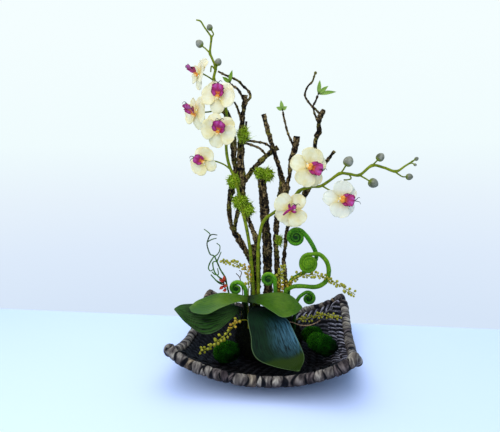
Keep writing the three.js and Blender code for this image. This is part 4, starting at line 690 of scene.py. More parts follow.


# the rim: flat strips wrapped round a ring; the middle of each strip waves as it goes round, each is domed
# across its width, the highest one shows at every point, and a groove runs where it is hardly higher than the
# next one below; the groove is painted near black as shade
def makeRim():
    rng = np.random.default_rng(rim["seed"])
    around, count, strips = rim["around"], rim["along"], rim["strips"]
    turns, whole = evenTurns(1.0, count)
    path = trayMiddle(1.0, turns)
    _, first, second = pathFrames(path, True, trayMiddle(0.9, turns) - path)
    far, angle = (np.arange(count) / count * whole)[:, None], ringAngles(around)
    widths = rng.uniform(0.6, 1.4, strips)
    middles = (np.cumsum(widths) - widths / 2) / widths.sum() * whole
    halves = widths / widths.sum() * whole / 2 * rim["overlap"]
    slants, starts = rng.uniform(-rim["slant"], rim["slant"], strips), rng.uniform(0, 2 * np.pi, strips)
    layers, creases, tones = rng.permutation(strips) / strips, rng.integers(1, 3, strips), rng.random(strips)
    height, below, across = np.zeros((count, around)), np.zeros((count, around)), np.ones((count, around))
    chosen = np.zeros((count, around), int)
    for k in range(strips):
        middle = middles[k] + slants[k] * np.sin(angle + starts[k])
        half = halves[k] * (1 + 0.16 * np.sin(2 * angle + 3 * k))
        share = ((far - middle + whole / 2) % whole - whole / 2) / half
        dome = rim["layerHigh"] * layers[k] + rim["domeHigh"] * np.clip(1 - np.abs(share) ** 4, 0, 1) ** 0.6
        dome = np.where(np.abs(share) < 1, dome, 0)
        shows = dome > height
        below = np.where(shows, height, np.maximum(below, dome))
        height = np.where(shows, dome, height)
        chosen = np.where(shows, k, chosen)
        across = np.where(shows, share, across)
    fold = np.abs(np.sin(np.pi * creases[chosen] * (across + 1) / 2))
    # the grooves between strips: sunk into the form and painted dark as shade
    gap = np.clip(1.7 - (height - below) / 0.85, 0, 1)
    out = first[:, None] * np.cos(angle)[:, None] + second[:, None] * np.sin(angle)[:, None]
    # painted shade: how much the point faces down, for darkening the rim's lower side
    paintedUnderShade = np.clip(0.35 - 1.1 * out[..., 2], 0, 1)
    crumple = lumpNoise((path[:, None] + 10 * out).reshape(-1, 3), 9.0, 3).reshape(count, around)
    radius = rim["core"] + height - 0.3 * (1 - fold) ** 2 * (1 - gap)
    radius = radius - rim["groove"] * gap ** 2 + 0.3 * crumple
    grid = path[:, None] + out * np.minimum(radius, rim["radius"])[..., None]
    shape = {"points": grid.reshape(-1, 3), "faces": gridQuads(count, around, True, True)[:, ::-1],
             "gap": gap.ravel(), "paintedUnderShade": paintedUnderShade.ravel(), "strip": tones[chosen].ravel(),
             "across": across.ravel(), "around": np.tile(angle * 10, count)}
    newPiece("rim_wrapping", shape, "rim", ["tray_rim"])


makeTray()
makeRim()
print("tray made")


# hair roots: random corners of the copy, chosen where keep allows them
def hairRoots(co, no, rng, count, keep=None):
    pick = np.arange(len(co)) if keep is None else np.flatnonzero(keep)
    pick = rng.choice(pick, count)
    return co[pick] + rng.normal(scale=0.5, size=(count, 3)), no[pick]


# cell is the size of the copy's faces, layers are the size and strength of its lumps, levels are where a hair
# has corners; calm is how the body's colour climbs from root to tip: start, strength of the noise and end
longHair, shortHair = [(0, 1), (0.4, 0.85), (0.75, 0.6)], [(0, 1)]
stoneMoss = {"slot": "stone_moss", "cell": 1.7, "layers": [(14, 1.3), (5, 0.4)], "hairs": 6000, "length": 3.6,
             "width": 0.27, "bend": 0.3, "lean": 0.4, "levels": shortHair, "calm": (0.25, 0.3, 0.6),
             "fade": 0.5}
clumpMoss = {"slot": "clump", "cell": 0.9, "layers": [(6.5, 2.8), (3.2, 1.8)], "length": 1.7, "width": 1.15,
             "bend": 2.6, "lean": 1.2, "levels": longHair, "calm": (0.5, 0.6, 1), "fade": 1}
mossy = {
    "moss_mound": {"slot": "moss", "cell": 2.6, "layers": [(14, 2.0), (5, 1.2)], "hairs": 4600, "length": 7.0,
        "width": 0.45, "bend": 0.45, "lean": 0.6, "levels": [(0, 1), (0.55, 0.75)], "calm": (0.25, 0.3, 0.6),
        "fade": 1},
    "moss_stone_left": stoneMoss,
    "moss_stone_right": stoneMoss,
    "moss_stone_back": stoneMoss,
    "moss_clump_upper": {**clumpMoss, "hairs": 1150},
    "moss_clump_lower": {**clumpMoss, "hairs": 2200},
    "moss_clump_post": {**clumpMoss, "hairs": 1600},
    "moss_clump_high": {**clumpMoss, "hairs": 700, "layers": [(6, 1.2), (2.6, 0.6)], "length": 2.8},
    "moss_clump_stick": {**clumpMoss, "hairs": 360, "cell": 0.8, "layers": [(5, 0.9)], "length": 2.3},
}


# a body as a rounded copy and hairs on it: all over a clump, and only above its lowest 6 mm on the mound and
# the stones, whose hairs are painted lit on the upper left and painted in shade elsewhere
def makeMoss():
    for k, (node, s) in enumerate(mossy.items()):
        mesh, co, no = roundCopy(node + "_body", node, s["cell"], 5, s["layers"], 20 + k)
        start, strength, end = s["calm"]
        rise = np.clip(start + strength * lumpNoise(co, 3.0, 9), 0, end) * s["fade"]
        setValues(mesh, {"rise": rise, "tone": np.full(len(co), 0.5)})
        finishPiece(bpy.data.objects.new(mesh.name, mesh), s["slot"], [node])
        rng = np.random.default_rng(60 + k)
        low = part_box(node)[0][2] / mm
        keep = None if s["slot"] == "clump" else (no[:, 2] > -0.35) & (co[:, 2] > low + 6)
        roots, normals = hairRoots(co, no, rng, s["hairs"], keep)
        hair = hairShape(roots, normals, rng, s["length"], s["width"], s["bend"], s["lean"], s["levels"])
        if s["slot"] == "stone_moss":
            # painted light: stone hairs that face up and to the left keep their light tips, the others go
            # dark as shade
            hair["rise"] = hair["rise"] * np.repeat(np.clip(0.3 + normals @ [-0.75, -0.2, 0.75], 0, 1), 4)
        newPiece(node + "_hair", hair, s["slot"])
    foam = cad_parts["floral_foam"].data.materials
    foam.clear()
    foam.append(looks["foam"])


makeMoss()
print("moss made")


# each branch is given as lines of [x, y, z, radius]: thick knobbly limbs and thin twigs with a knot every now
# and then
branches = {
    "branch_left": {"slot": "bark",
        "limbs": [[[-31, 36, 34, 8], [-30, 36, 124, 8.2], [-28, 36, 204, 8], [-28, 36, 243, 6.5],
          [-34, 35, 269, 5.5], [-42, 35, 289, 5.2], [-50, 36, 311, 5.2], [-58, 36, 338, 6.2],
          [-61, 36, 367, 7.5], [-63, 36, 407, 8.5], [-63, 35, 438, 7], [-62, 34, 466, 6.2],
          [-60, 33, 494, 5.6], [-57, 32, 524, 5], [-53, 30, 551, 5], [-50, 28, 572, 5.8]],
         [[-63, 37, 376, 5.5], [-44, 42, 404, 5.2], [-26, 45, 425, 5.2], [-9, 47, 441, 5.2],
          [6, 48, 452, 5.2], [19, 48, 460, 4.8]],
         [[-27, 40, 138, 5.5], [-30, 44, 160, 6], [-37, 46, 188, 6], [-48, 47, 213, 6.3], [-62, 47, 238, 6.3],
          [-74, 46, 260, 6], [-84, 45, 276, 5], [-90, 44, 299, 4.4], [-92, 43, 328, 4.4], [-89, 42, 351, 6],
          [-85, 41, 369, 7], [-82, 40, 390, 5.5], [-76, 38, 412, 5], [-79, 36, 440, 5.5], [-78, 34, 471, 6],
          [-80, 32, 499, 5], [-89, 30, 527, 6.5], [-99, 28, 544, 6.5]],
         [[-81, 45.5, 266, 4.6], [-77, 43, 294, 4.3], [-72, 40, 318, 4.3], [-60, 37, 338, 4.3]],
         [[-33, 26, 40, 6.5], [-35, 24, 128, 7], [-35, 24, 193, 7], [-34, 24, 246, 7]]],
        "twigs": [[[-52, 29, 560, 2.8], [-64, 20, 582, 2.3], [-74, 16, 589, 2.1], [-78, 14, 593, 2.1]],
         [[-51, 30, 556, 2.8], [-41, 34, 566, 2.4], [-41, 36, 575, 2.4], [-47, 38, 584, 2.3],
          [-57, 38, 593, 2.3], [-65, 37, 602, 2.3], [-80, 35, 610, 2.1], [-95, 32, 616, 2],
          [-109, 28, 623, 2]],
         [[-58, 32, 510, 2.6], [-67, 30, 543, 2.3], [-74, 27, 558, 1.9]],
         [[-60, 33, 486, 2.6], [-52, 38, 503, 2.3], [-50, 40, 517, 1.9]],
         [[-61, 35, 478, 2.7], [-40, 44, 475, 2.4], [-28, 47, 473, 2.4], [-12, 49, 470, 2.4],
          [1, 50, 462, 2.4], [8, 48, 452, 2.7]],
         [[-62, 35, 474, 2.7], [-33, 38, 464, 2.3], [-19, 40, 457, 2.3], [-5, 47, 441, 2.6]]]},
    "mossy_post": {"slot": "mossy_bark",
        "twigs": [],
        "limbs": [[[-4, 42, 34, 10], [-4, 42, 123, 10], [-5, 42, 203, 10], [-6, 42, 254, 9.6],
          [-10, 42, 295, 9.6], [-12, 42, 336, 9.6], [-15, 42, 365, 9.2], [-17, 42, 391, 9.2]]]},
    "forked_stick": {"slot": "bark",
        "limbs": [[[19, 60, 34, 6], [18, 60, 123, 6], [15, 60, 199, 6], [13, 58, 251, 5.6],
          [15, 55, 294, 5.4], [22, 50, 333, 5.6], [30, 45, 362, 9], [31, 42, 382, 8]],
         [[22, 47, 350, 7], [29, 44, 360, 11], [33, 43, 372, 12], [31, 42, 383, 9]],
         [[31, 44, 366, 6], [27, 40, 394, 5.5], [22, 36, 415, 4.6], [15, 33, 438, 4.5], [6, 31, 469, 4.5],
          [-3, 30, 499, 4.6], [-11, 28, 531, 4.8]],
         [[31, 44, 368, 6], [42, 46, 389, 4.5], [45, 47, 415, 4], [49, 46, 439, 5.4], [57, 44, 461, 6.6],
          [60, 43, 484, 6.8]]],
        "twigs": [[[57, 44, 456, 2.8], [44, 40, 482, 2.3], [38, 38, 499, 2.2], [35, 36, 512, 2],
          [32, 35, 524, 2], [30, 34, 536, 1.8]]]},
    "branch_right": {"slot": "bark", "bud": ([98, 14, 609.5], 3.2),
        "limbs": [[[38, 42, 34, 5], [37, 42, 130, 5], [35, 42, 176, 5], [32, 42, 207, 4.6],
          [34, 42, 234, 4.2], [37, 41, 258, 4], [42, 40, 289, 4], [61, 36, 323, 4], [76, 32, 353, 5],
          [85, 29, 377, 7], [92, 27, 415, 5], [99, 25, 458, 4.6], [101, 25, 476, 4.6], [107, 25, 493, 5.6],
          [106, 24, 509, 4.2], [110, 23, 524, 5], [116, 22, 537, 4.3]],
         [[85, 29, 380, 4.5], [104, 36, 404, 3.6], [120, 40, 424, 3.5], [141, 44, 451, 3.7]]],
        "twigs": [[[107, 24, 508, 2.6], [97, 22, 529, 2], [94, 20, 540, 1.9], [83, 18, 554, 1.9],
          [77, 16, 565, 1.9], [79, 15, 576, 1.8], [84, 14, 585, 1.8], [92, 14, 593, 1.8], [97, 14, 608, 1.7]],
         [[112, 23, 524, 2.4], [99, 17, 537, 2], [94, 14, 543, 1.9], [99, 12, 553, 1.8],
          [103, 11, 564, 1.8]]]},
}


# a limb: a tube whose bark is pushed in and out by noise of two sizes and by flat ridges that run up it
def limbShape(rows, seed, sides=22):
    line = evenLine(smoothLine(rows, 8), 1.3)
    even = tubeShape(line[:, :3], line[:, 3], sides)
    ring = even["points"][:len(line) * sides].reshape(len(line), sides, 3)
    flat = ring.reshape(-1, 3)
    ridges = lumpNoise(flat * [1, 1, 0.3], 3.2, seed + 5)
    push = 1.5 * roughNoise(flat, 7.0, seed) + 2.3 * np.abs(lumpNoise(flat, 3.8, seed + 3))
    push = push + 0.7 * ridges - 0.6
    push = push.reshape(len(line), sides)
    radius = line[:, 3:4] * (1.04 + 0.14 * lumpNoise(line[:, :3], 26.0, seed + 9))[:, None]
    radius = np.maximum(radius + push * np.minimum(1, line[:, 3:4] / 5.5), 0.45 * line[:, 3:4])
    shape = tubeShape(line[:, :3], radius, sides)
    return withValues(shape, push=np.append(push.ravel(), [-0.5, 0.6]))


# a twig: a thin tube with a knot every fourteen millimetres or so
def twigShape(rows, seed):
    line = evenLine(smoothLine(rows, 8), 1.2)
    far = np.arange(len(line)) * 1.2
    knots = np.exp(-(((far + 5 * seed) % 14 - 7) / 1.6) ** 2)
    radius = line[:, 3] * (1.08 + 0.4 * knots + 0.2 * lumpNoise(line[:, :3], 4.0, seed))
    push = np.append(np.repeat(knots - 0.2, 10), [0.0, 0.0])
    return withValues(tubeShape(line[:, :3], radius, 10), push=push)


# a branch: all its limbs and twigs, and an egg for its end bud where it has one
def makeBranches():
    for k, (node, s) in enumerate(branches.items()):
        shapes = [limbShape(rows, 40 + 11 * k + j) for j, rows in enumerate(s["limbs"])]
        shapes += [twigShape(rows, 140 + 11 * k + j) for j, rows in enumerate(s["twigs"])]
        if "bud" in s:
            shapes.append(withValues(eggShape(s["bud"][0], [0, 0, 1], s["bud"][1], 1.1, 8, 10)))
        newPiece(node + "_bark", gather(shapes), s["slot"], [node])


makeBranches()
print("branches made")


spikes = {
    "left": {"stem": [[-33, 8, 34, 4], [-33, 8, 133, 4], [-38, 8, 219, 3.8], [-43, 9, 259, 3.7],
         [-48, 10, 288, 3.6], [-54, 12, 314, 3.6], [-60, 14, 338, 3.6], [-66, 14, 368, 3.5],
         [-73, 13, 395, 3.5], [-83, 11, 419, 3.4], [-88, 8, 442, 3.3], [-89, 5, 468, 3.2], [-86, 2, 507, 3.1],
         [-88, 0, 546, 3], [-99, -2, 575, 2.9], [-111, -4, 600, 2.8], [-107, -5, 623, 2.7],
         [-114, -6, 643, 2.4], [-118, -6, 653, 2.3], [-116, -7, 667, 2.2], [-114, -8, 683, 2.1],
         [-118, -8, 690, 1.9], [-128, -9, 704, 1.7], [-135, -10, 715, 1.7], [-144, -11, 718, 1.3]],
        "hooks": [[[-108, -5, 620, 1.8], [-115, -6, 627, 1.5], [-117, -7, 615, 1.4]]],
        "buds": [([[-114, -8, 682, 1.8], [-109.5, -8, 689, 1.5], [-112, -8, 695, 1.5]], [-117, -8, 703], 5.8),
         ([[-117, -6, 652, 1.8], [-127, -8, 662, 1.5], [-131, -8, 665, 1.5]], [-139, -9, 672], 7.4),
         ([[-108, -5, 620, 1.8], [-104, -4, 627, 1.6]], [-101, -4, 635], 6.8)],
        "joints": [18, 20, 16, 15]},
    "right": {"stem": [[-22, 8, 34, 4], [-22, 8, 134, 4], [-23, 8, 200, 3.8], [-22, 7, 240, 3.7],
         [-19, 6, 264, 3.6], [-14, 4, 292, 3.6], [-4, 2, 309, 3.5], [11, 1, 320, 3.5], [30, 1, 334, 3.4],
         [52, 2, 352, 3.4], [66, 3, 367, 3.4], [77, 4, 373, 3.3], [94, 4, 377, 3.2], [111, 4, 378, 3.2],
         [130, 4, 390, 3], [150, 4, 404, 3], [169, 3, 403, 2.9], [190, 2, 401, 2.8], [214, 1, 420, 2.7],
         [237, 0, 416, 2.6], [261, -1, 408, 2.5], [279, -2, 419, 2.1], [294, -3, 429, 1.7]],
        "hooks": [[[168, 3, 404, 1.8], [173, 3, 394, 1.5], [165, 3, 391, 1.4], [158, 3, 391, 1.4]]],
        "buds": [([[151, 4, 403, 2], [157, 4, 412, 1.7], [160, 4, 417, 1.7]], [167, 4, 429], 9.8),
         ([[213, 1, 418, 2], [219, 1, 425, 1.6], [223, 1, 429, 1.6]], [230, 1, 437], 8), ([[189, 2, 401, 2],
           [203, 2, 393, 1.6], [209, 2, 389, 1.6]], [218, 2, 384], 9.4), ([[260, -1, 407, 1.8],
           [273, -1, 398, 1.4], [280, -1, 397, 1.4]], [288, -1, 397], 6.4), ([[291, -3, 427, 2.2],
           [295, -3, 430, 1.6]], [300, -3, 433], 3.8), ([[285, -2, 423, 1.4], [292, -3, 424, 1]],
          [298, -3, 421], 2.8)],
        "joints": [15, 18, 17, 20, 10]},
}

# centre, yaw to the viewer's right, pitch up, roll in its own plane, size, and where its stalk leaves the
# spike; curls are steps from the lip's tip to the viewer's right, up and out
blooms = {
    "bloom_left_1": {"white": 0.5, "lie": [0.5, 1.6], "centre": [-140, -10, 613], "yaw": -54, "pitch": 8,
        "roll": 175, "size": 33, "lip": 1.5,
        "curls": [[[-6, 3, 0], [-13, 3, -1], [-17, 0, -1]], [[-7, -2, 1], [-14, -3, 1], [-18, 1, 1]]],
        "stalk": [[-110, -4, 597, 1.9], [-121, -2, 605, 1.6]]},
    "bloom_left_2": {"white": 0.45, "centre": [-99, -19, 564], "yaw": 0, "pitch": 8, "roll": 172, "size": 35,
        "lip": 1.42,
        "stalk": [[-97, -1, 571, 1.9]]},
    "bloom_left_3": {"white": 0.3, "lie": [0.8, 1.3], "centre": [-153, 7, 535], "yaw": -40, "pitch": -5,
        "roll": 178, "size": 36, "lip": 1.5, "throat": 0.06,
        "curls": [[[-5, 4, 0], [-12, 5, 0], [-18, 2, 0]], [[-4, 1, 1], [-9, -1, 1], [-14, 1, 1]]],
        "stalk": [[-88, 0, 544, 1.9], [-104, 8, 541, 1.6], [-124, 13, 537, 1.6]]},
    "bloom_left_4": {"centre": [-98, -27, 494], "yaw": 2, "pitch": -8, "roll": 163, "size": 36, "lip": 1.42,
        "stalk": [[-86, 2, 507, 1.9], [-92, 0, 505, 1.7]]},
    "bloom_left_5": {"centre": [-139, 0, 432], "yaw": -6, "pitch": 0, "roll": 240, "size": 31, "lip": 1.3,
        "curls": [[[-4, 2, 1], [-8, 1, 2], [-9, -3, 2]], [[-3, -3, 1], [-7, -5, 1], [-9, -9, 1]]],
        "stalk": [[-84, 11, 416, 2], [-97, 11, 425, 1.7], [-117, 10, 432, 1.6]]},
    "bloom_right_1": {"centre": [87, -12, 417], "yaw": 22, "pitch": 6, "roll": 68, "size": 41, "lip": 1.3,
        "callus": 3.4,
        "stalk": [[92, 4, 377, 1.9], [86, 3, 396, 1.6], [80, 0, 410, 1.6]]},
    "bloom_right_2": {"centre": [50, -20, 331], "yaw": -10, "pitch": -6, "roll": 130, "size": 38,
        "angles": [85, 5, 180, 278, 132], "slim": 0.45, "callus": 3.4,
        "ribbon": [[-14, -10, 10, 1.6], [-8, -4, 12, 2.6], [0, 2, 13, 2.8], [8, 9, 13, 2.7],
         [12, 13, 12, 1.6]],
        "stalk": [[50, 2, 350, 1.9], [50, -2, 344, 1.7]]},
    "bloom_right_3": {"white": 0.8, "centre": [153, -12, 352], "yaw": 20, "pitch": 4, "roll": 80, "size": 38,
        "lip": 1.3, "callus": 3.8,
        "curls": [[[5, 4, 1], [9, 7, 1], [12, 5, 1]], [[6, -1, 1], [11, -3, 1], [13, -7, 1]]],
        "stalk": [[115, 4, 378, 2], [127, 2, 371, 1.7], [143, -1, 363, 1.6]]},
}
bloomForm = {"hub": 5.2, "hubHalf": 3.4, "thick": 0.9, "angles": [90, 5, 175, 230, 310], "gap": 0.3,
             "white": 0.28,
             "curls": [[[-2.5, 3, 2], [-6, 4, 3], [-9, 1, 3]], [[2.5, 3, 2], [6, 4, 3], [9, 1, 3]]]}
# width is a share of the bloom's size; bend, lift and cup are millimetres forward at the tip, all over and at
# the sides
broadPetal = {"width": 1.17, "bend": 3.0, "lift": 1.4, "cup": 2.6, "notch": 0.05}
sepal = {"width": 0.88, "bend": -3.0, "lift": -1.9, "cup": 1.2, "notch": 0}


# the bloom's own axes: x across, y up and z out of its face
def bloomPlace(b, roll=None):
    yawed = Matrix.Rotation(math.radians(b["yaw"]), 3, "Z")
    pitched = Matrix.Rotation(math.radians(-b["pitch"]), 3, "X")
    out = yawed @ pitched @ Vector((0, -1, 0))
    right = Vector((0, 0, 1)).cross(out).normalized()
    up = out.cross(right)
    a = math.radians(b["roll"] if roll is None else roll)
    turn = np.array([[math.cos(a), -math.sin(a), 0], [math.sin(a), math.cos(a), 0], [0, 0, 1]])
    return np.array([right, up, out]).T @ turn, np.array(b["centre"], float)


# points from a bloom's own axes to the piece's: turned, then moved to its centre
def toPlace(place, grid):
    return grid @ place[0].T + place[1]


# a petal: its half width follows a round outline narrow at the root; broad petals cup forward, sepals lie
# back, and both ripple towards their edge
def petalShape(place, size, angle, s, seed):
    u, v = np.meshgrid(np.linspace(0, 1, 24), np.linspace(-1, 1, 19), indexing="ij")
    rounded = np.sqrt(np.clip(1 - ((u - 0.56) / 0.46) ** 2, 0, 1))
    outline = np.minimum(1, np.maximum(rounded, np.where(u < 0.5, 0.13 + 0.9 * u, 0.02)))
    outline = outline * (1 + 0.05 * np.sin(7 * u + 2.1 * seed + 2 * np.sign(v)) * np.abs(v))
    start = bloomForm["hub"] * 0.55
    x = start + (size - start) * u * (1 - s["notch"] * np.exp(-(v / 0.14) ** 2) * u ** 6)
    y = v * size * s["width"] * outline / 2
    ripple = 1.9 * np.sin(4.5 * v + seed) * u ** 2 * np.abs(v)
    ripple = ripple + 1.0 * np.sin(9 * u + 2 * seed) * np.abs(v) ** 3
    fold = -0.7 * np.exp(-(v / 0.1) ** 2) * (1 - 0.5 * u)
    z = s["lift"] * (0.4 + 0.6 * u) + s["bend"] * u ** 2
    z = z + s["cup"] * v ** 2 * np.sin(np.pi * u) + ripple + fold
    a = math.radians(angle)
    grid = np.stack([x * math.cos(a) - y * math.sin(a), x * math.sin(a) + y * math.cos(a), z], -1)
    thick = bloomForm["thick"] * (1 - 0.35 * np.maximum(u ** 4, v ** 4))
    return sheetShape(toPlace(place, grid), thick, reach=u, side=v, leafTurn=angle / 40.0 + seed)


# the lip: two raised side lobes and a tongue that widens and curls up, all frilled, two thin curls at its
# tip, a yellow callus of two knobs and the column above
def lipShape(b, seed):
    place, flat = bloomPlace(b), bloomPlace(b, 0)
    scale, slim, throat = b["size"] / 38 * b.get("lip", 1.15), b.get("slim", 1.0), b.get("throat", 0.0)
    base, lie = bloomForm["hubHalf"] + bloomForm["gap"], b.get("lie", [1.0, 1.0])

    # a point of the lip, scaled, laid flatter where told and moved to its place
    def put(x, y, z):
        return toPlace(place, np.stack([x * scale, y * scale * lie[0], base + z * scale * lie[1]], -1))

    u, v = np.meshgrid(np.linspace(0, 1, 17), np.linspace(-1, 1, 15), indexing="ij")
    frill = 0.9 * np.sin(8 * v + 5 * u + seed) * u * slim
    dark = 0.2 * np.maximum(v ** 8, u ** 10)
    shapes = []
    for side in (1, -1):
        half = (1.3 + 4.8 * np.sin(np.pi * np.minimum(1, 0.1 + 0.74 * u))) * slim
        x = side * (2.0 + 7.5 * u + 0.8 * v * v)
        y = -1.5 - 6.0 * u + side * v * half
        z = 2.6 + 7.0 * u + frill - 1.6 * v * v * u
        # painted highlight: a pale streak along the side lobe
        shine = 0.3 * np.exp(-((v - 0.35) / 0.22) ** 2) * np.sin(np.pi * u)
        shapes.append(sheetShape(put(x, y, z), 1.0, reach=0.16 + 0.62 * u + dark - throat, shine=shine))
    tip = np.clip((u - 0.75) / 0.25, 0, 1)
    half = (2.2 + 6.9 * np.sin(np.pi * np.minimum(1, 0.75 * u))) * (1 - 0.35 * tip) * slim
    y = -2.0 - 15.0 * u + 1.6 * np.abs(v) * tip
    z = 2.6 + 8 * np.sin(np.pi * 0.6 * u) + 1.8 * v * v * u + frill * 0.8
    # painted highlight: pale streaks either side of the tongue's middle
    shine = 0.35 * np.exp(-((np.abs(v) - 0.4) / 0.2) ** 2) * np.clip(3 * u - 1, 0, 1)
    shapes.append(sheetShape(put(v * half, y, z), 1.0, reach=0.05 + 0.72 * u + dark - throat, shine=shine))
    end = put(0.0, -16.4, 10.3)
    for steps in b.get("curls", bloomForm["curls"]):
        line = smoothLine(np.vstack([end, end + np.array(steps, float) @ flat[0].T]), 6)
        shapes.append(withValues(tubeShape(line, np.linspace(0.95, 0.4, len(line)), 7), reach=1.0))
    callus = b.get("callus", 2.2)
    for side in (1, -1):
        knob = eggShape([0, 0, 0], [0, 0, 1], callus, 1.2, 8, 10)
        moved = knob["points"] + [side * 0.6 * callus * slim, 1.5, 2 + callus]
        knob["points"] = moved * scale + [0, 0, base]
        knob["points"] = toPlace(place, knob["points"])
        shapes.append(withValues(knob, reach=0.02))
    if "ribbon" in b:
        line = smoothLine(np.array(b["ribbon"], float), 8)
        ribbon = tubeShape(line[:, :3] @ flat[0].T + flat[1], line[:, 3], 9)
        shapes.append(withValues(ribbon, reach=0.7))
    t = np.linspace(0, 1, 9)
    column = np.stack([0 * t, 3.0 + 2.6 * t, 0.4 + 7.2 * t - 2.4 * t * t], -1)
    radius = (2.6 - 0.6 * t + 0.7 * np.sin(np.pi * t)) * scale
    post = tubeShape(toPlace(place, column * scale + [0, 0, base]), radius, 12)
    pale = np.clip(post["along"] / post["along"].max() * 1.4 - 0.6, 0, 0.7)
    shapes.append(withValues(post, reach=0.06, pale=pale))
    return gather(shapes)


# the same shape with painted shade on its points below the leaves, full at 108 mm and none from 133 mm
def lowShade(shape):
    low = 0.95 * np.clip((133 - shape["points"][:, 2]) / 25, 0, 1)
    return {**shape, "shade": np.maximum(low, shape.get("shade", 0))}


# a spike: a smooth stem thicker at its joints, hooks, stalks to the blooms, and buds as eggs of three lobes
# with a point
def makeSpikes():
    for side, s in spikes.items():
        stem = evenLine(smoothLine(s["stem"], 8), 1.6)
        radius = stem[:, 3] * (1 + 0.07 * lumpNoise(stem[:, :3], 12, 4))
        for k in s["joints"]:
            near = np.linalg.norm(stem[:, :3] - np.array(s["stem"][k][:3]), axis=1)
            radius = radius * (1 + 0.3 * np.exp(-(near / 4.5) ** 2))
        shapes = [lowShade(withValues(tubeShape(stem[:, :3], radius, 12)))]
        lines = list(s["hooks"])
        for rows, centre, size in s["buds"]:
            ahead = np.array(centre, float) - rows[-1][:3]
            ahead /= np.linalg.norm(ahead)
            lines.append(rows + [[*(centre - 0.7 * size * ahead), 1.8]])
            t = np.linspace(-1, 1, 17)
            width = 1.1 * size * np.sqrt(np.clip(1 - t ** 2, 0.002, 1)) * (1 - 0.12 * t)
            width = width * (1 - 0.35 * np.clip(t - 0.5, 0, 1))
            lobes = width[:, None] * (0.95 + 0.045 * np.cos(3 * ringAngles(18))[None, :])
            egg = tubeShape(centre + ahead * (t * size * 1.16)[:, None], lobes, 18)
            shapes.append(withValues(egg, bud=np.clip((egg["along"] - 0.15 * size) / (0.6 * size), 0, 1)))
        for name, b in blooms.items():
            if side in name:
                rear = -bloomForm["hubHalf"] - bloomForm["gap"]
                ends = ((rear - 5.0, 1.6), (rear + 1.5, 1.9))
                intoBloom = [[*toPlace(bloomPlace(b), np.array([0, 0, z])), r] for z, r in ends]
                lines.append(b["stalk"] + intoBloom)
        for rows in lines:
            line = smoothLine(rows, 6)
            shapes.append(withValues(tubeShape(line[:, :3], line[:, 3], 8)))
        newPiece("spike_%s_stem" % side, gather(shapes), "spike", ["spike_" + side])


# a bloom: five petals and sepals at their angles round a hub, and the lip as a second piece
def makeBlooms():
    for k, (name, b) in enumerate(blooms.items()):
        place, shapes, white = bloomPlace(b), [], b.get("white", bloomForm["white"])
        for i, angle in enumerate(b.get("angles", bloomForm["angles"])):
            petal = petalShape(place, b["size"], angle, broadPetal if i in (1, 2) else sepal, k + i * 1.3)
            shapes.append({**petal, "white": white})
        hub = eggShape([0, 0, 0], [0, 0, 1], bloomForm["hub"] * 0.8, 0.75, 9, 14)
        shapes.append({"points": toPlace(place, hub["points"]), "faces": hub["faces"], "reach": 0.0})
        newPiece(name + "_petals", gather(shapes), "petal", [name])
        newPiece(name + "_tongue", lipShape(b, k), "lip", [name + "_lip"])


makeSpikes()
makeBlooms()
print("spikes and blooms made")


leaves = {
    "leaf_left_upper": {"slot": "leaf_bright", "sag": -4, "ribs": 0.3, "ribCount": 9,
        "petiole": [[-50, -4, 46, 3], [-50, -6, 100, 3], [-53, -12, 126, 3.2], [-60, -17, 134.8, 3]],
        "back": [[-33, -6, 136], [-54, -7, 139], [-76, -7, 142], [-106, -8, 143], [-137, -12, 134],
         [-158, -18, 126], [-168, -31, 117]],
        "front": [[-34, -25, 128], [-52, -31, 132], [-68, -43, 133.5], [-95, -60, 127], [-121, -70, 117],
         [-156, -54, 114], [-169, -35, 116]]},
    "leaf_left_lower": {"slot": "leaf_dark", "sag": -2, "ribs": 1.5, "ribCount": 11,
        "petiole": [[-50, -16, 46, 3], [-50, -18, 92, 3], [-54, -20, 110, 3.2], [-62, -21, 115, 3]],
        "back": [[-55, -17, 116], [-85, -13, 120], [-125, -12, 120], [-165, -14, 119], [-192, -18, 117],
         [-205, -25, 110]],
        "front": [[-57, -24, 111], [-78, -42, 94], [-102, -62, 78], [-132, -68, 73], [-172, -51, 88],
         [-205, -28, 108]]},
    "leaf_right": {"slot": "leaf_bright", "sag": -3, "ribs": 0.3, "ribCount": 9,
        "petiole": [[-37, -7, 46, 3], [-37, -9, 100, 3], [-36, -12, 126, 3.2], [-28, -17, 136.6, 3]],
        "back": [[-42, -7, 139], [-5, -11, 146], [18, -11, 150], [40, -13, 149], [57, -18, 142],
         [74, -27, 126]],
        "front": [[-42, -26, 131], [-12, -42, 132], [14, -58, 124], [37, -70, 117], [62, -52, 118],
         [75, -31, 124]]},
    "leaf_front": {"slot": "leaf_teal", "sag": -4, "ribs": 0.36, "ribCount": 19,
        "petiole": [[-35, -19, 46, 3], [-35, -21, 96, 3], [-32, -24, 114, 3.2], [-26, -28, 121, 3]],
        "back": [[-22, -22, 123], [12, -26, 117], [39, -38, 105], [50, -50, 98], [64, -76, 80],
         [75, -100, 67], [81, -126, 57], [73, -155, 47]],
        "front": [[-29, -29, 121], [-38, -50, 113], [-33, -76, 99], [-25, -100, 84], [-20, -122, 67],
         [-5, -140, 56], [29, -152, 50], [69, -158, 47]]},
}


# an edge line at an even count of places from its root to its tip
def leafEdge(points, rows):
    line = smoothLine(points, 24)
    at = np.linspace(0, len(line) - 1, rows)
    return np.stack([np.interp(at, np.arange(len(line)), line[:, j]) for j in range(3)], 1)


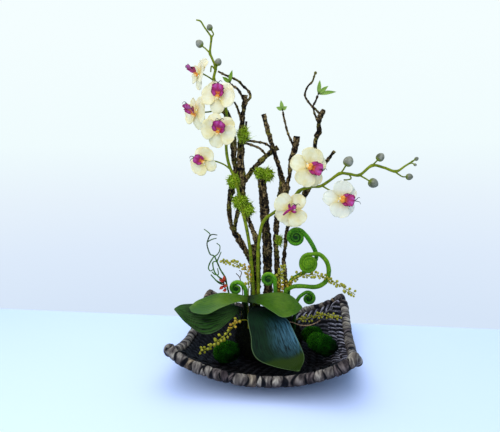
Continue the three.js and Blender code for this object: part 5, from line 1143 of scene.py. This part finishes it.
# a leaf: a surface between its two edge curves that sags between them, with ribs as a low wave across it and
# a slow ripple
def makeLeaves():
    for k, (name, s) in enumerate(leaves.items()):
        rows, columns = 56, 5 * s["ribCount"] + 1
        u, v = np.linspace(0.0, 1, rows), np.linspace(-1, 1, columns)
        back, front = leafEdge(s["back"], rows), leafEdge(s["front"], rows)
        up = np.cross(back - front, np.gradient(back, axis=0))
        up /= np.maximum(np.linalg.norm(up, axis=1), 1e-6)[:, None]
        up *= np.where(up[:, 2:] < 0, -1, 1)
        swell = np.minimum(1, np.linalg.norm(back - front, axis=1) / 40)[:, None]
        ripple = 0.8 * np.sin(5 * u + k)[:, None] * np.abs(v[None, :]) ** 3
        ribs = s["ribs"] * 0.5 * np.cos(s["ribCount"] * np.pi * v)[None, :]
        drop = (s["sag"] * (1 - v ** 2)[None, :] * swell + ribs + ripple) * swell
        grid = front[:, None] + (back - front)[:, None] * ((v + 1) / 2)[None, :, None]
        grid = grid + up[:, None] * drop[..., None]
        uu, vv = np.meshgrid(u, v, indexing="ij")
        blade = sheetShape(grid, 1.5 * (1 - 0.45 * np.abs(vv) ** 6), reach=uu, side=vv)
        stalk = smoothLine(s["petiole"], 8)
        stalk = withValues(tubeShape(stalk[:, :3], stalk[:, 3], 12))
        newPiece(name + "_blade", gather([blade, stalk]), s["slot"], [name])


makeLeaves()
print("leaves made")


# a crosier's stem as [x, y, z, radius], then the reach from its centre and the radius at every quarter turn
# of its coil; way is 1 for a coil that turns left, inside is how dark its inner turns lie and disc is the
# size of what closes it
crosiers = {
    "crosier_tall": {"slot": "crosier", "centre": [59, 8, 268], "way": 1, "fuzz": 0.3, "inside": 0.5,
        "grow": 1.12, "disc": [13, 0.8],
        "stem": [[43, 14, 34, 4], [43, 14, 134, 4.2], [49, 12, 169, 4.2], [63, 10, 181, 4.2],
         [82, 9, 193, 4.2], [99, 8, 212, 4.2], [104, 8, 228, 4.3], [98, 8, 246, 4.5], [86, 8, 266, 4.6],
         [75, 8, 279, 4.4]],
        "coil": [[15.6, 4.2], [14.6, 4], [15.4, 3.6], [13.4, 3], [9, 2.4], [7.2, 2.2], [7.6, 2], [6, 1.8],
         [3.2, 1.4]]},
    "crosier_lime": {"slot": "crosier_lime", "centre": [87, -10, 215.5], "way": 1, "fuzz": 0.3, "inside": 0.0,
        "grow": 1.12, "disc": [16.5, 3.0],
        "stem": [[37, -4, 34, 4], [37, -4, 140, 4.2], [50, -8, 160, 4.2], [70, -10, 165, 4.3],
         [101, -10, 164, 4.4], [118, -10, 171, 4.5], [127, -10, 183, 4.6], [130, -10, 200, 4.6],
         [126, -10, 218, 4.5], [116, -10, 231, 4.4], [106, -10, 236, 4.2], [92, -10, 235, 3.8]],
        "coil": [[16.2, 3.5], [18.4, 3.4], [16, 3.3], [13, 3.2], [9.6, 3.2], [10.4, 3.1], [7.6, 3], [5, 2.8],
         [2, 2.2]]},
    "crosier_centre": {"slot": "crosier", "centre": [2, -2, 175], "way": 1, "fuzz": 1.0, "inside": 0.95,
        "grow": 1.2, "disc": [11, 1.0],
        "stem": [[13, -4, 40, 3.2], [13, -4, 120, 3.6], [16, -3, 150, 3.8], [15, -2, 168, 4]],
        "coil": [[11.6, 4.1], [12.8, 3.8], [10.4, 3.4], [7.4, 2.8], [3.8, 2.2], [3.6, 1.8]]},
    "crosier_left": {"slot": "crosier", "centre": [-72, 4, 151], "way": 1, "fuzz": 1.0, "inside": 0.85,
        "grow": 1.2, "disc": [9, 0.9],
        "stem": [[-52, 6, 40, 3.2], [-50, 5, 134, 4], [-51, 4, 150, 4.3], [-58, 4, 161, 4.3]],
        "coil": [[11.6, 4], [10, 3.6], [9.4, 3], [6.6, 2.4], [3.6, 1.9], [2.8, 1.4]]},
    "crosier_right": {"slot": "crosier", "centre": [88.5, 4, 134.5], "way": -1, "fuzz": 0.3, "inside": 0.7,
        "grow": 1.2, "disc": [9, 0.8],
        "stem": [[56, 4, 50, 3], [60, 4, 112, 3.2], [67, 4, 134, 3.5], [79, 4, 145, 3.5]],
        "coil": [[11.6, 3.4], [11.2, 3.2], [9.8, 2.8], [6.6, 2.4], [3.4, 2], [2.6, 1.4]]},
}


# a crosier: its stem and then a coil round the centre over a thin disc; the inner turns get painted shade,
# and pale hairs grow outside, painted lighter on their upper side as a highlight
def makeCrosiers():
    sides, turn = 16, ringAngles(16)
    for k, (name, s) in enumerate(crosiers.items()):
        last, centre = np.array(s["stem"][-1], float), np.array(s["centre"], float)
        start = last[[0, 2]] - centre[[0, 2]]
        turns = smoothLine([[np.hypot(*start), last[3]]] + s["coil"], 6)
        angle = math.atan2(start[1], start[0]) + s["way"] * np.arange(len(turns)) / 6 * np.pi / 2
        reach, radius = turns.T
        x, y, z = centre[0] + reach * np.cos(angle), centre[1] + 0 * angle, centre[2] + reach * np.sin(angle)
        coil = np.stack([x, y, z, radius], 1)
        line = evenLine(np.vstack([smoothLine(s["stem"], 8)[:-1], coil]), 1.4)
        lumps = 1 + 0.05 * lumpNoise(line[:, :3], 5, k)[:, None]
        body = tubeShape(line[:, :3], line[:, 3:4] * s["grow"] * (1 + 0.05 * np.cos(2 * turn)) * lumps, sides)
        ring, middles = body["points"][:-2], np.repeat(line[:, :3], sides, 0)
        away = ring - middles
        away /= np.linalg.norm(away, axis=1)[:, None]
        out = middles - centre
        distance = np.linalg.norm(out, axis=1)
        outward = np.sum(away * out, 1) / np.maximum(distance, 1)
        coiled = np.arange(len(ring)) > len(ring) - sides * len(coil) * 3
        shade = s["inside"] * np.clip(1 - (distance - 2) / 12, 0, 1) * (1 - 0.6 * np.abs(away[:, 2])) * coiled
        # partly real pale hairs on the coil's outside, partly a painted highlight stronger on its upper side
        fuzz = 0.75 * s["fuzz"] * np.clip(outward, 0, 1) * np.clip(away[:, 2] + 0.5, 0, 1) * coiled
        stem = withValues(body, shade=np.append(shade, [0, 0.5]), fuzz=np.append(fuzz, [0, 0]))
        wide, thick = s["disc"]
        disc = eggShape(centre, [0, 1, 0], wide, thick / wide, 10, 28)
        # painted shade: the disc is as dark as four times the inside value, up to full
        disc = withValues(disc, shade=min(1, 4 * s["inside"]))
        rng = np.random.default_rng(300 + k)
        count, length = (900, 1.5) if s["fuzz"] == 1 else (500, 0.9)
        pick = rng.choice(np.flatnonzero(coiled & (outward > 0.1)), count)
        hair = hairShape(ring[pick], away[pick], rng, length, 0.14, 0.4, 0.3, shortHair, 0.2)
        shapes = [lowShade(stem), disc, withValues(hair, fuzz=0.6 * s["fuzz"])]
        newPiece(name + "_coil", gather(shapes), s["slot"], [name])


makeCrosiers()
print("crosiers made")


# from is where on its line the beads begin, and ripe is the stretch whose beads are orange brown
sprays = {
    "spray_front": {"from": 0.28, "beads": 36, "bead": 3.1,
        "line": [[-40, -28, 72], [-42, -29, 90], [-56, -42, 95], [-61, -56, 95], [-70, -72, 87],
         [-82, -88, 79], [-93, -100, 72], [-104, -112, 66], [-116, -122, 62], [-123, -128, 61]],
        "ripe": [0.3, 0.5]},
    "spray_right_low": {"from": 0.32, "beads": 40, "bead": 2.6,
        "line": [[31, 20, 70], [34, 21, 86], [52, 25, 76], [83, 35, 76], [101, 42, 80], [121, 48, 81],
         [141, 54, 77], [160, 58, 73]], "ripe": [0, 0]},
    "spray_right_high": {"from": 0.3, "beads": 68, "bead": 2.9,
        "line": [[31, 6, 72], [33, 5, 130], [37, 4, 152], [49, 1, 171], [65, -1, 184], [84, -3, 188],
         [107, -22, 193], [132, -25, 185], [153, -24, 173], [174, -22, 160], [184, -22, 154]],
        "ripe": [0.3, 0.4]},
    "spray_centre": {"from": 0.5, "beads": 38, "bead": 3.0,
        "line": [[24, 5, 72], [25, 4, 130], [28, 0, 165], [27, 0, 183], [32, 1, 207]], "ripe": [0.5, 0.7]},
    "spray_left": {"from": 0.46, "beads": 48, "bead": 2.8,
        "line": [[-46, 10, 72], [-44.5, 6, 134], [-42, -1, 166], [-43, -2, 186], [-49, -3, 199],
         [-59, -3, 203], [-76, -3, 211], [-93, -3, 212], [-102, -3, 216]], "ripe": [0.58, 0.72]},
}


# a spray: a thin stem, and eggs on short stalks that leave it at turning angles
def makeSprays():
    for k, (name, s) in enumerate(sprays.items()):
        rng = np.random.default_rng(400 + k)
        line = evenLine(smoothLine(s["line"], 8), 1.2)
        ahead, first, second = pathFrames(line)
        shapes = [withValues(tubeShape(line, np.linspace(1.2, 0.8, len(line)), 8))]
        beadSteps = np.arange(s["beads"]) + 0.5 * rng.random(s["beads"])
        places = s["from"] + (1 - s["from"]) * beadSteps / s["beads"]
        for j, at in enumerate(places):
            i = min(len(line) - 1, int(at * (len(line) - 1)))
            turn = j * 2.4 + rng.normal() * 0.9
            out = first[i] * math.cos(turn) + second[i] * math.sin(turn) + ahead[i] * 0.45
            out /= np.linalg.norm(out)
            reach = rng.uniform(2.4, 8.0) * (1.15 - 0.4 * at)
            size = s["bead"] * rng.uniform(0.75, 1.15)
            end = line[i] + out * reach
            ripe = float(s["ripe"][0] <= at <= s["ripe"][1]) * rng.uniform(0.5, 1)
            stalk = np.array([line[i], (line[i] + end) / 2 + [0, 0, 0.3], end])
            shapes.append(withValues(tubeShape(stalk, np.array([0.6, 0.45, 0.5]), 5), ripe=ripe))
            bead = eggShape(end + out * size * 0.7, out, size, 1.08, 8, 10)
            shapes.append(withValues(bead, ripe=ripe, fuzz=rng.uniform(0, 0.35)))
        newPiece(name + "_berries", gather(shapes), "berry", [name])


makeSprays()
print("sprays made")


tuftWidth = 8
tufts = {
    "tuft_left": {"base": [-80.6, 13.2, 596], "twig": [-78.3, 13.8, 593.6], "tips": [[-75, 12, 621],
         [-96, 12, 608]]},
    "tuft_middle": {"base": [29.4, 33.6, 539.4], "twig": [29.9, 33.9, 536.4], "tips": [[26, 32, 559],
         [16, 32, 545], [39, 32, 546]]},
    "tuft_right": {"base": [104.6, 10.6, 567.2], "twig": [103.4, 10.9, 564.5], "tips": [[107, 9, 594],
         [124, 9, 582], [140, 9, 570]]},
}
tendrils = [[[-62, 4, 70, 1.5], [-70, 3, 100, 1.5], [-84, 1, 128, 1.5], [-87, 0, 139, 1.5],
             [-91, -4, 161, 1.5], [-94, -6, 178, 1.5], [-103, -6, 193, 1.3], [-108, -6, 204, 1.3],
             [-113, -6, 216, 1.3], [-118, -6, 226, 1.3], [-126, -6, 229, 1.3], [-131, -6, 241, 1.3],
             [-133, -6, 254, 1.3], [-128, -6, 268, 1.3], [-126, -6, 274, 1.1], [-132, -6, 280, 1.1],
             [-139, -6, 285, 1.0]],
            [[-127, -6, 270, 1.3], [-120, -8, 274, 1.1], [-109, -10, 273, 0.9]],
            [[-132, -6, 257, 1.3], [-121, -8, 263, 1.1], [-111, -10, 266, 0.9]],
            [[-117, -6, 224, 1.3], [-110, -4, 230, 1.1], [-106, -4, 237, 1.1], [-105, -4, 248, 0.9],
             [-112, -4, 254, 0.9]],
            [[-112, -6, 213, 1.3], [-105, -9, 227, 1.1], [-101, -10, 236, 0.9]],
            [[-118, -6, 225, 1.3], [-121, -9, 220, 1.1], [-127, -10, 210, 1.1], [-130, -10, 199, 1.1],
             [-126, -10, 193, 0.9], [-120, -10, 196, 0.9]],
            [[-92, -5, 168, 1.3], [-107, -10, 180, 1.1], [-115, -11, 189, 1.1], [-119, -11, 200, 1.1],
             [-121, -10, 212, 0.9]],
            [[-91, -4, 160, 1.3], [-106, -13, 167, 1.1], [-118, -14, 179, 1.1], [-124, -14, 186, 0.9]],
            [[-112, -8, 214, 0.9], [-119, -10, 213, 1], [-119, -12, 202, 1], [-116, -10, 190, 0.8]],
            [[-122, -11, 191, 0.9], [-116, -9, 185, 1], [-108, -11, 186, 1], [-110, -9, 199, 0.8]],
            [[-124, -12, 184, 0.9], [-113, -10, 172, 1], [-106, -12, 169, 1], [-97, -8, 166, 0.8]],
            [[-113, -11, 186, 0.9], [-103, -9, 174, 1], [-95, -9, 165, 0.9]]]
redSprig = {"stem": [[-91.6, -6.6, 166, 1], [-95, -9.5, 171, 1], [-97, -10.5, 160, 1], [-91, -8.5, 152, 1]],
            "leaves": [[[-95, -9.5, 171], [-95, -12, 184]],
             [[-95, -9.5, 171], [-106, -16, 176]],
             [[-97, -10.5, 160], [-106, -13, 153]],
             [[-91, -8.5, 152], [-99, -12, 149]],
             [[-97, -10.5, 160], [-87, -13, 163]]]}
darkTwig = [[[-62, 14, 70, 1.3], [-60, 12, 110, 1.2], [-58, 11, 141, 1.1], [-62, 10, 162, 1.1],
             [-64, 10, 174, 1], [-72, 9, 184, 0.9]],
            [[-64, 10, 172, 1], [-60, 10, 186, 0.9], [-65, 9, 191, 0.8]]]
vine = [[38, -16, 68, 1.2], [39, -16, 84, 1.2], [53, -12, 84, 1.2], [70, -6, 76, 1.2], [89, 0, 74, 1.2],
        [104, 12, 75, 1.2], [114, 24, 77, 1.2]]


# a small leaf: a blade from root to tip, widest before its middle, folded along its midrib and arched
def smallLeaf(root, tip, width, arch, facing, seed):
    root, tip = np.array(root, float), np.array(tip, float)
    length = np.linalg.norm(tip - root)
    along = (tip - root) / length
    side = np.cross(facing, along)
    side /= np.linalg.norm(side)
    up = np.cross(along, side)
    u, v = np.meshgrid(np.linspace(0, 1, 14), np.linspace(-1, 1, 9), indexing="ij")
    half = width / 2 * np.maximum(0.06, np.sin(np.pi * (0.06 + 0.92 * u ** 0.85)))
    bow = arch * np.sin(np.pi * u) + 0.25 * width * np.abs(v) * np.sin(np.pi * u) + 0.3 * np.sin(6 * u + seed)
    grid = root + along * (length * u)[..., None] + side * (half * v)[..., None] + up * bow[..., None]
    return sheetShape(grid, 0.8, reach=u, side=v)


# tubes along smooth lines, a little uneven
def thinLines(lines, sides=7):
    paths = [evenLine(smoothLine(rows, 8), 1.4) for rows in lines]
    radii = [p[:, 3] * (1 + 0.12 * lumpNoise(p[:, :3], 3.0, k)) for k, p in enumerate(paths)]
    return [withValues(tubeShape(p[:, :3], radius, sides)) for p, radius in zip(paths, radii)]


# leaf tufts on twig ends, and the thin loose pieces
def makeSmallThings():
    facing = np.array([0.0, -1.0, 0.0])
    for k, (name, s) in enumerate(tufts.items()):
        shapes = [smallLeaf(s["base"], tip, tuftWidth, 2.6, facing, j + k) for j, tip in enumerate(s["tips"])]
        shapes.append(withValues(tubeShape([s["twig"], s["base"]], np.array([1.0, 1.5]), 8)))
        shapes.append(withValues(eggShape(s["base"], [0, 0, 1], 2.0, 1.0, 8, 9)))
        newPiece(name + "_leaves", gather(shapes), "tuft", [name])
    thick = [[[x, y, z, r * (1.35 if z < 225 else 1.1)] for x, y, z, r in rows] for rows in tendrils]
    newPiece("tendrils", gather(thinLines(thick)), "tendril", ["tendril_tangle"])
    shapes = [smallLeaf(root, tip, 7.0, 1.4, facing, j) for j, (root, tip) in enumerate(redSprig["leaves"])]
    newPiece("red_sprig_leaves", gather(thinLines([redSprig["stem"]]) + shapes), "red_leaf", ["red_sprig"])
    newPiece("dark_twig_bark", gather(thinLines(darkTwig, 8)), "bark", ["dark_twig"])
    newPiece("vine_stem", gather(thinLines([vine], 8)), "vine", ["vine"])


makeSmallThings()
print("small things made")


# the floor ends at floorEnd; behind it the camera sees the backdrop's gradient
studio = {"floor": (0.72, 0.79, 1.0), "floorEnd": 0.215, "floorHalf": 1.6, "floorFront": -1.8,
          "floorDrop": -0.0003, "backdrop": [(0.0, tint(214, 229, 248)), (0.23, tint(222, 235, 251)),
           (0.42, tint(231, 242, 252)), (0.62, tint(240, 252, 254)), (1.0, tint(244, 254, 255))],
          "backdropRise": (-0.32, 0.25), "sky": (0.5, 0.7, 1.0), "skyStrength": 1.05, "keyPower": 15.0,
          "fillPower": 10.0}


# the floor: one level rectangle, a stage that isn't part of the object
def makeFloor():
    half, front, end, z = (studio[key] for key in ("floorHalf", "floorFront", "floorEnd", "floorDrop"))
    mesh = bpy.data.meshes.new("studio_floor")
    corners = [(-half, front, z), (half, front, z), (half, end, z), (-half, end, z)]
    mesh.from_pydata(corners, [], [(0, 1, 2, 3)])
    sheet = bpy.data.objects.new("studio_floor", mesh)
    bpy.context.scene.collection.objects.link(sheet)
    sheet.data.materials.append(Look("studio_floor", specular=0.2).finish((*studio["floor"], 1)))


# the world lights the piece with an even blue sky and shows the camera a pale gradient that is lighter
# upwards
def makeWorld():
    world = bpy.data.worlds.new("studio")
    world.use_nodes = True
    nodes, links = world.node_tree.nodes, world.node_tree.links
    light = nodes["Background"]
    light.inputs["Color"].default_value = (*studio["sky"], 1)
    light.inputs["Strength"].default_value = studio["skyStrength"]
    where, axes = nodes.new("ShaderNodeTexCoord"), nodes.new("ShaderNodeSeparateXYZ")
    ramp, seen = nodes.new("ShaderNodeValToRGB"), nodes.new("ShaderNodeBackground")
    rise = nodes.new("ShaderNodeMapRange")
    path = nodes.new("ShaderNodeLightPath")
    choose = nodes.new("ShaderNodeMixShader")
    rise.inputs["From Min"].default_value, rise.inputs["From Max"].default_value = studio["backdropRise"]
    stops = ramp.color_ramp.elements
    stops.remove(stops[1])
    for k, (place, colour) in enumerate(studio["backdrop"]):
        stop = stops[0] if k == 0 else stops.new(place)
        stop.position, stop.color = place, (*colour, 1)
    wires = [(where.outputs["Generated"], axes.inputs[0]),
             (axes.outputs["Z"], rise.inputs["Value"]),
             (rise.outputs["Result"], ramp.inputs["Fac"]),
             (ramp.outputs["Color"], seen.inputs["Color"]),
             (path.outputs["Is Camera Ray"], choose.inputs[0]),
             (light.outputs[0], choose.inputs[1]),
             (seen.outputs[0], choose.inputs[2]),
             (choose.outputs[0], nodes["World Output"].inputs["Surface"])]
    for start, end in wires:
        links.new(start, end)
    bpy.context.scene.world = world


# a round lamp at its place, turned to its target
def areaLight(name, place, target, size, power, colour):
    light = bpy.data.lights.new(name, "AREA")
    light.shape, light.size, light.energy, light.color = "DISK", size, power, colour
    lamp = bpy.data.objects.new(name, light)
    lamp.location = place
    lamp.rotation_euler = (Vector(target) - Vector(place)).to_track_quat("-Z", "Y").to_euler()
    bpy.context.scene.collection.objects.link(lamp)


makeFloor()
makeWorld()
bpy.context.scene.view_settings.view_transform = "Standard"
areaLight("key", (-0.1, -0.05, 1.75), (0.0, 0.0, 0.2), 2.2, studio["keyPower"], (1.0, 0.96, 0.92))
areaLight("fill", (-0.4, -1.35, 1.15), (0.0, 0.0, 0.25), 1.3, studio["fillPower"], (0.96, 0.97, 1.0))

# the camera's place and directions were fitted to the tray's four corners in the photograph
view = {"place": (0.087, -0.9096, 0.434), "ahead": (-0.1354, 0.9823, -0.1296),
        "right": (0.9907, 0.1354, -0.0089), "lens": 30.96, "sensor": 36.0}
camera = bpy.data.cameras.new("camera")
camera.sensor_fit, camera.sensor_width, camera.lens = "HORIZONTAL", view["sensor"], view["lens"]
camera.clip_start, camera.clip_end = 0.01, 50
eye = bpy.data.objects.new("camera", camera)
ahead, right = Vector(view["ahead"]).normalized(), Vector(view["right"])
right = (right - ahead * right.dot(ahead)).normalized()
axes = (right, right.cross(ahead), -ahead, Vector(view["place"]))
eye.matrix_world = Matrix([[axis[k] for axis in axes] for k in range(3)] + [[0, 0, 0, 1]])
bpy.context.scene.collection.objects.link(eye)
bpy.context.scene.camera = eye
print("studio made")
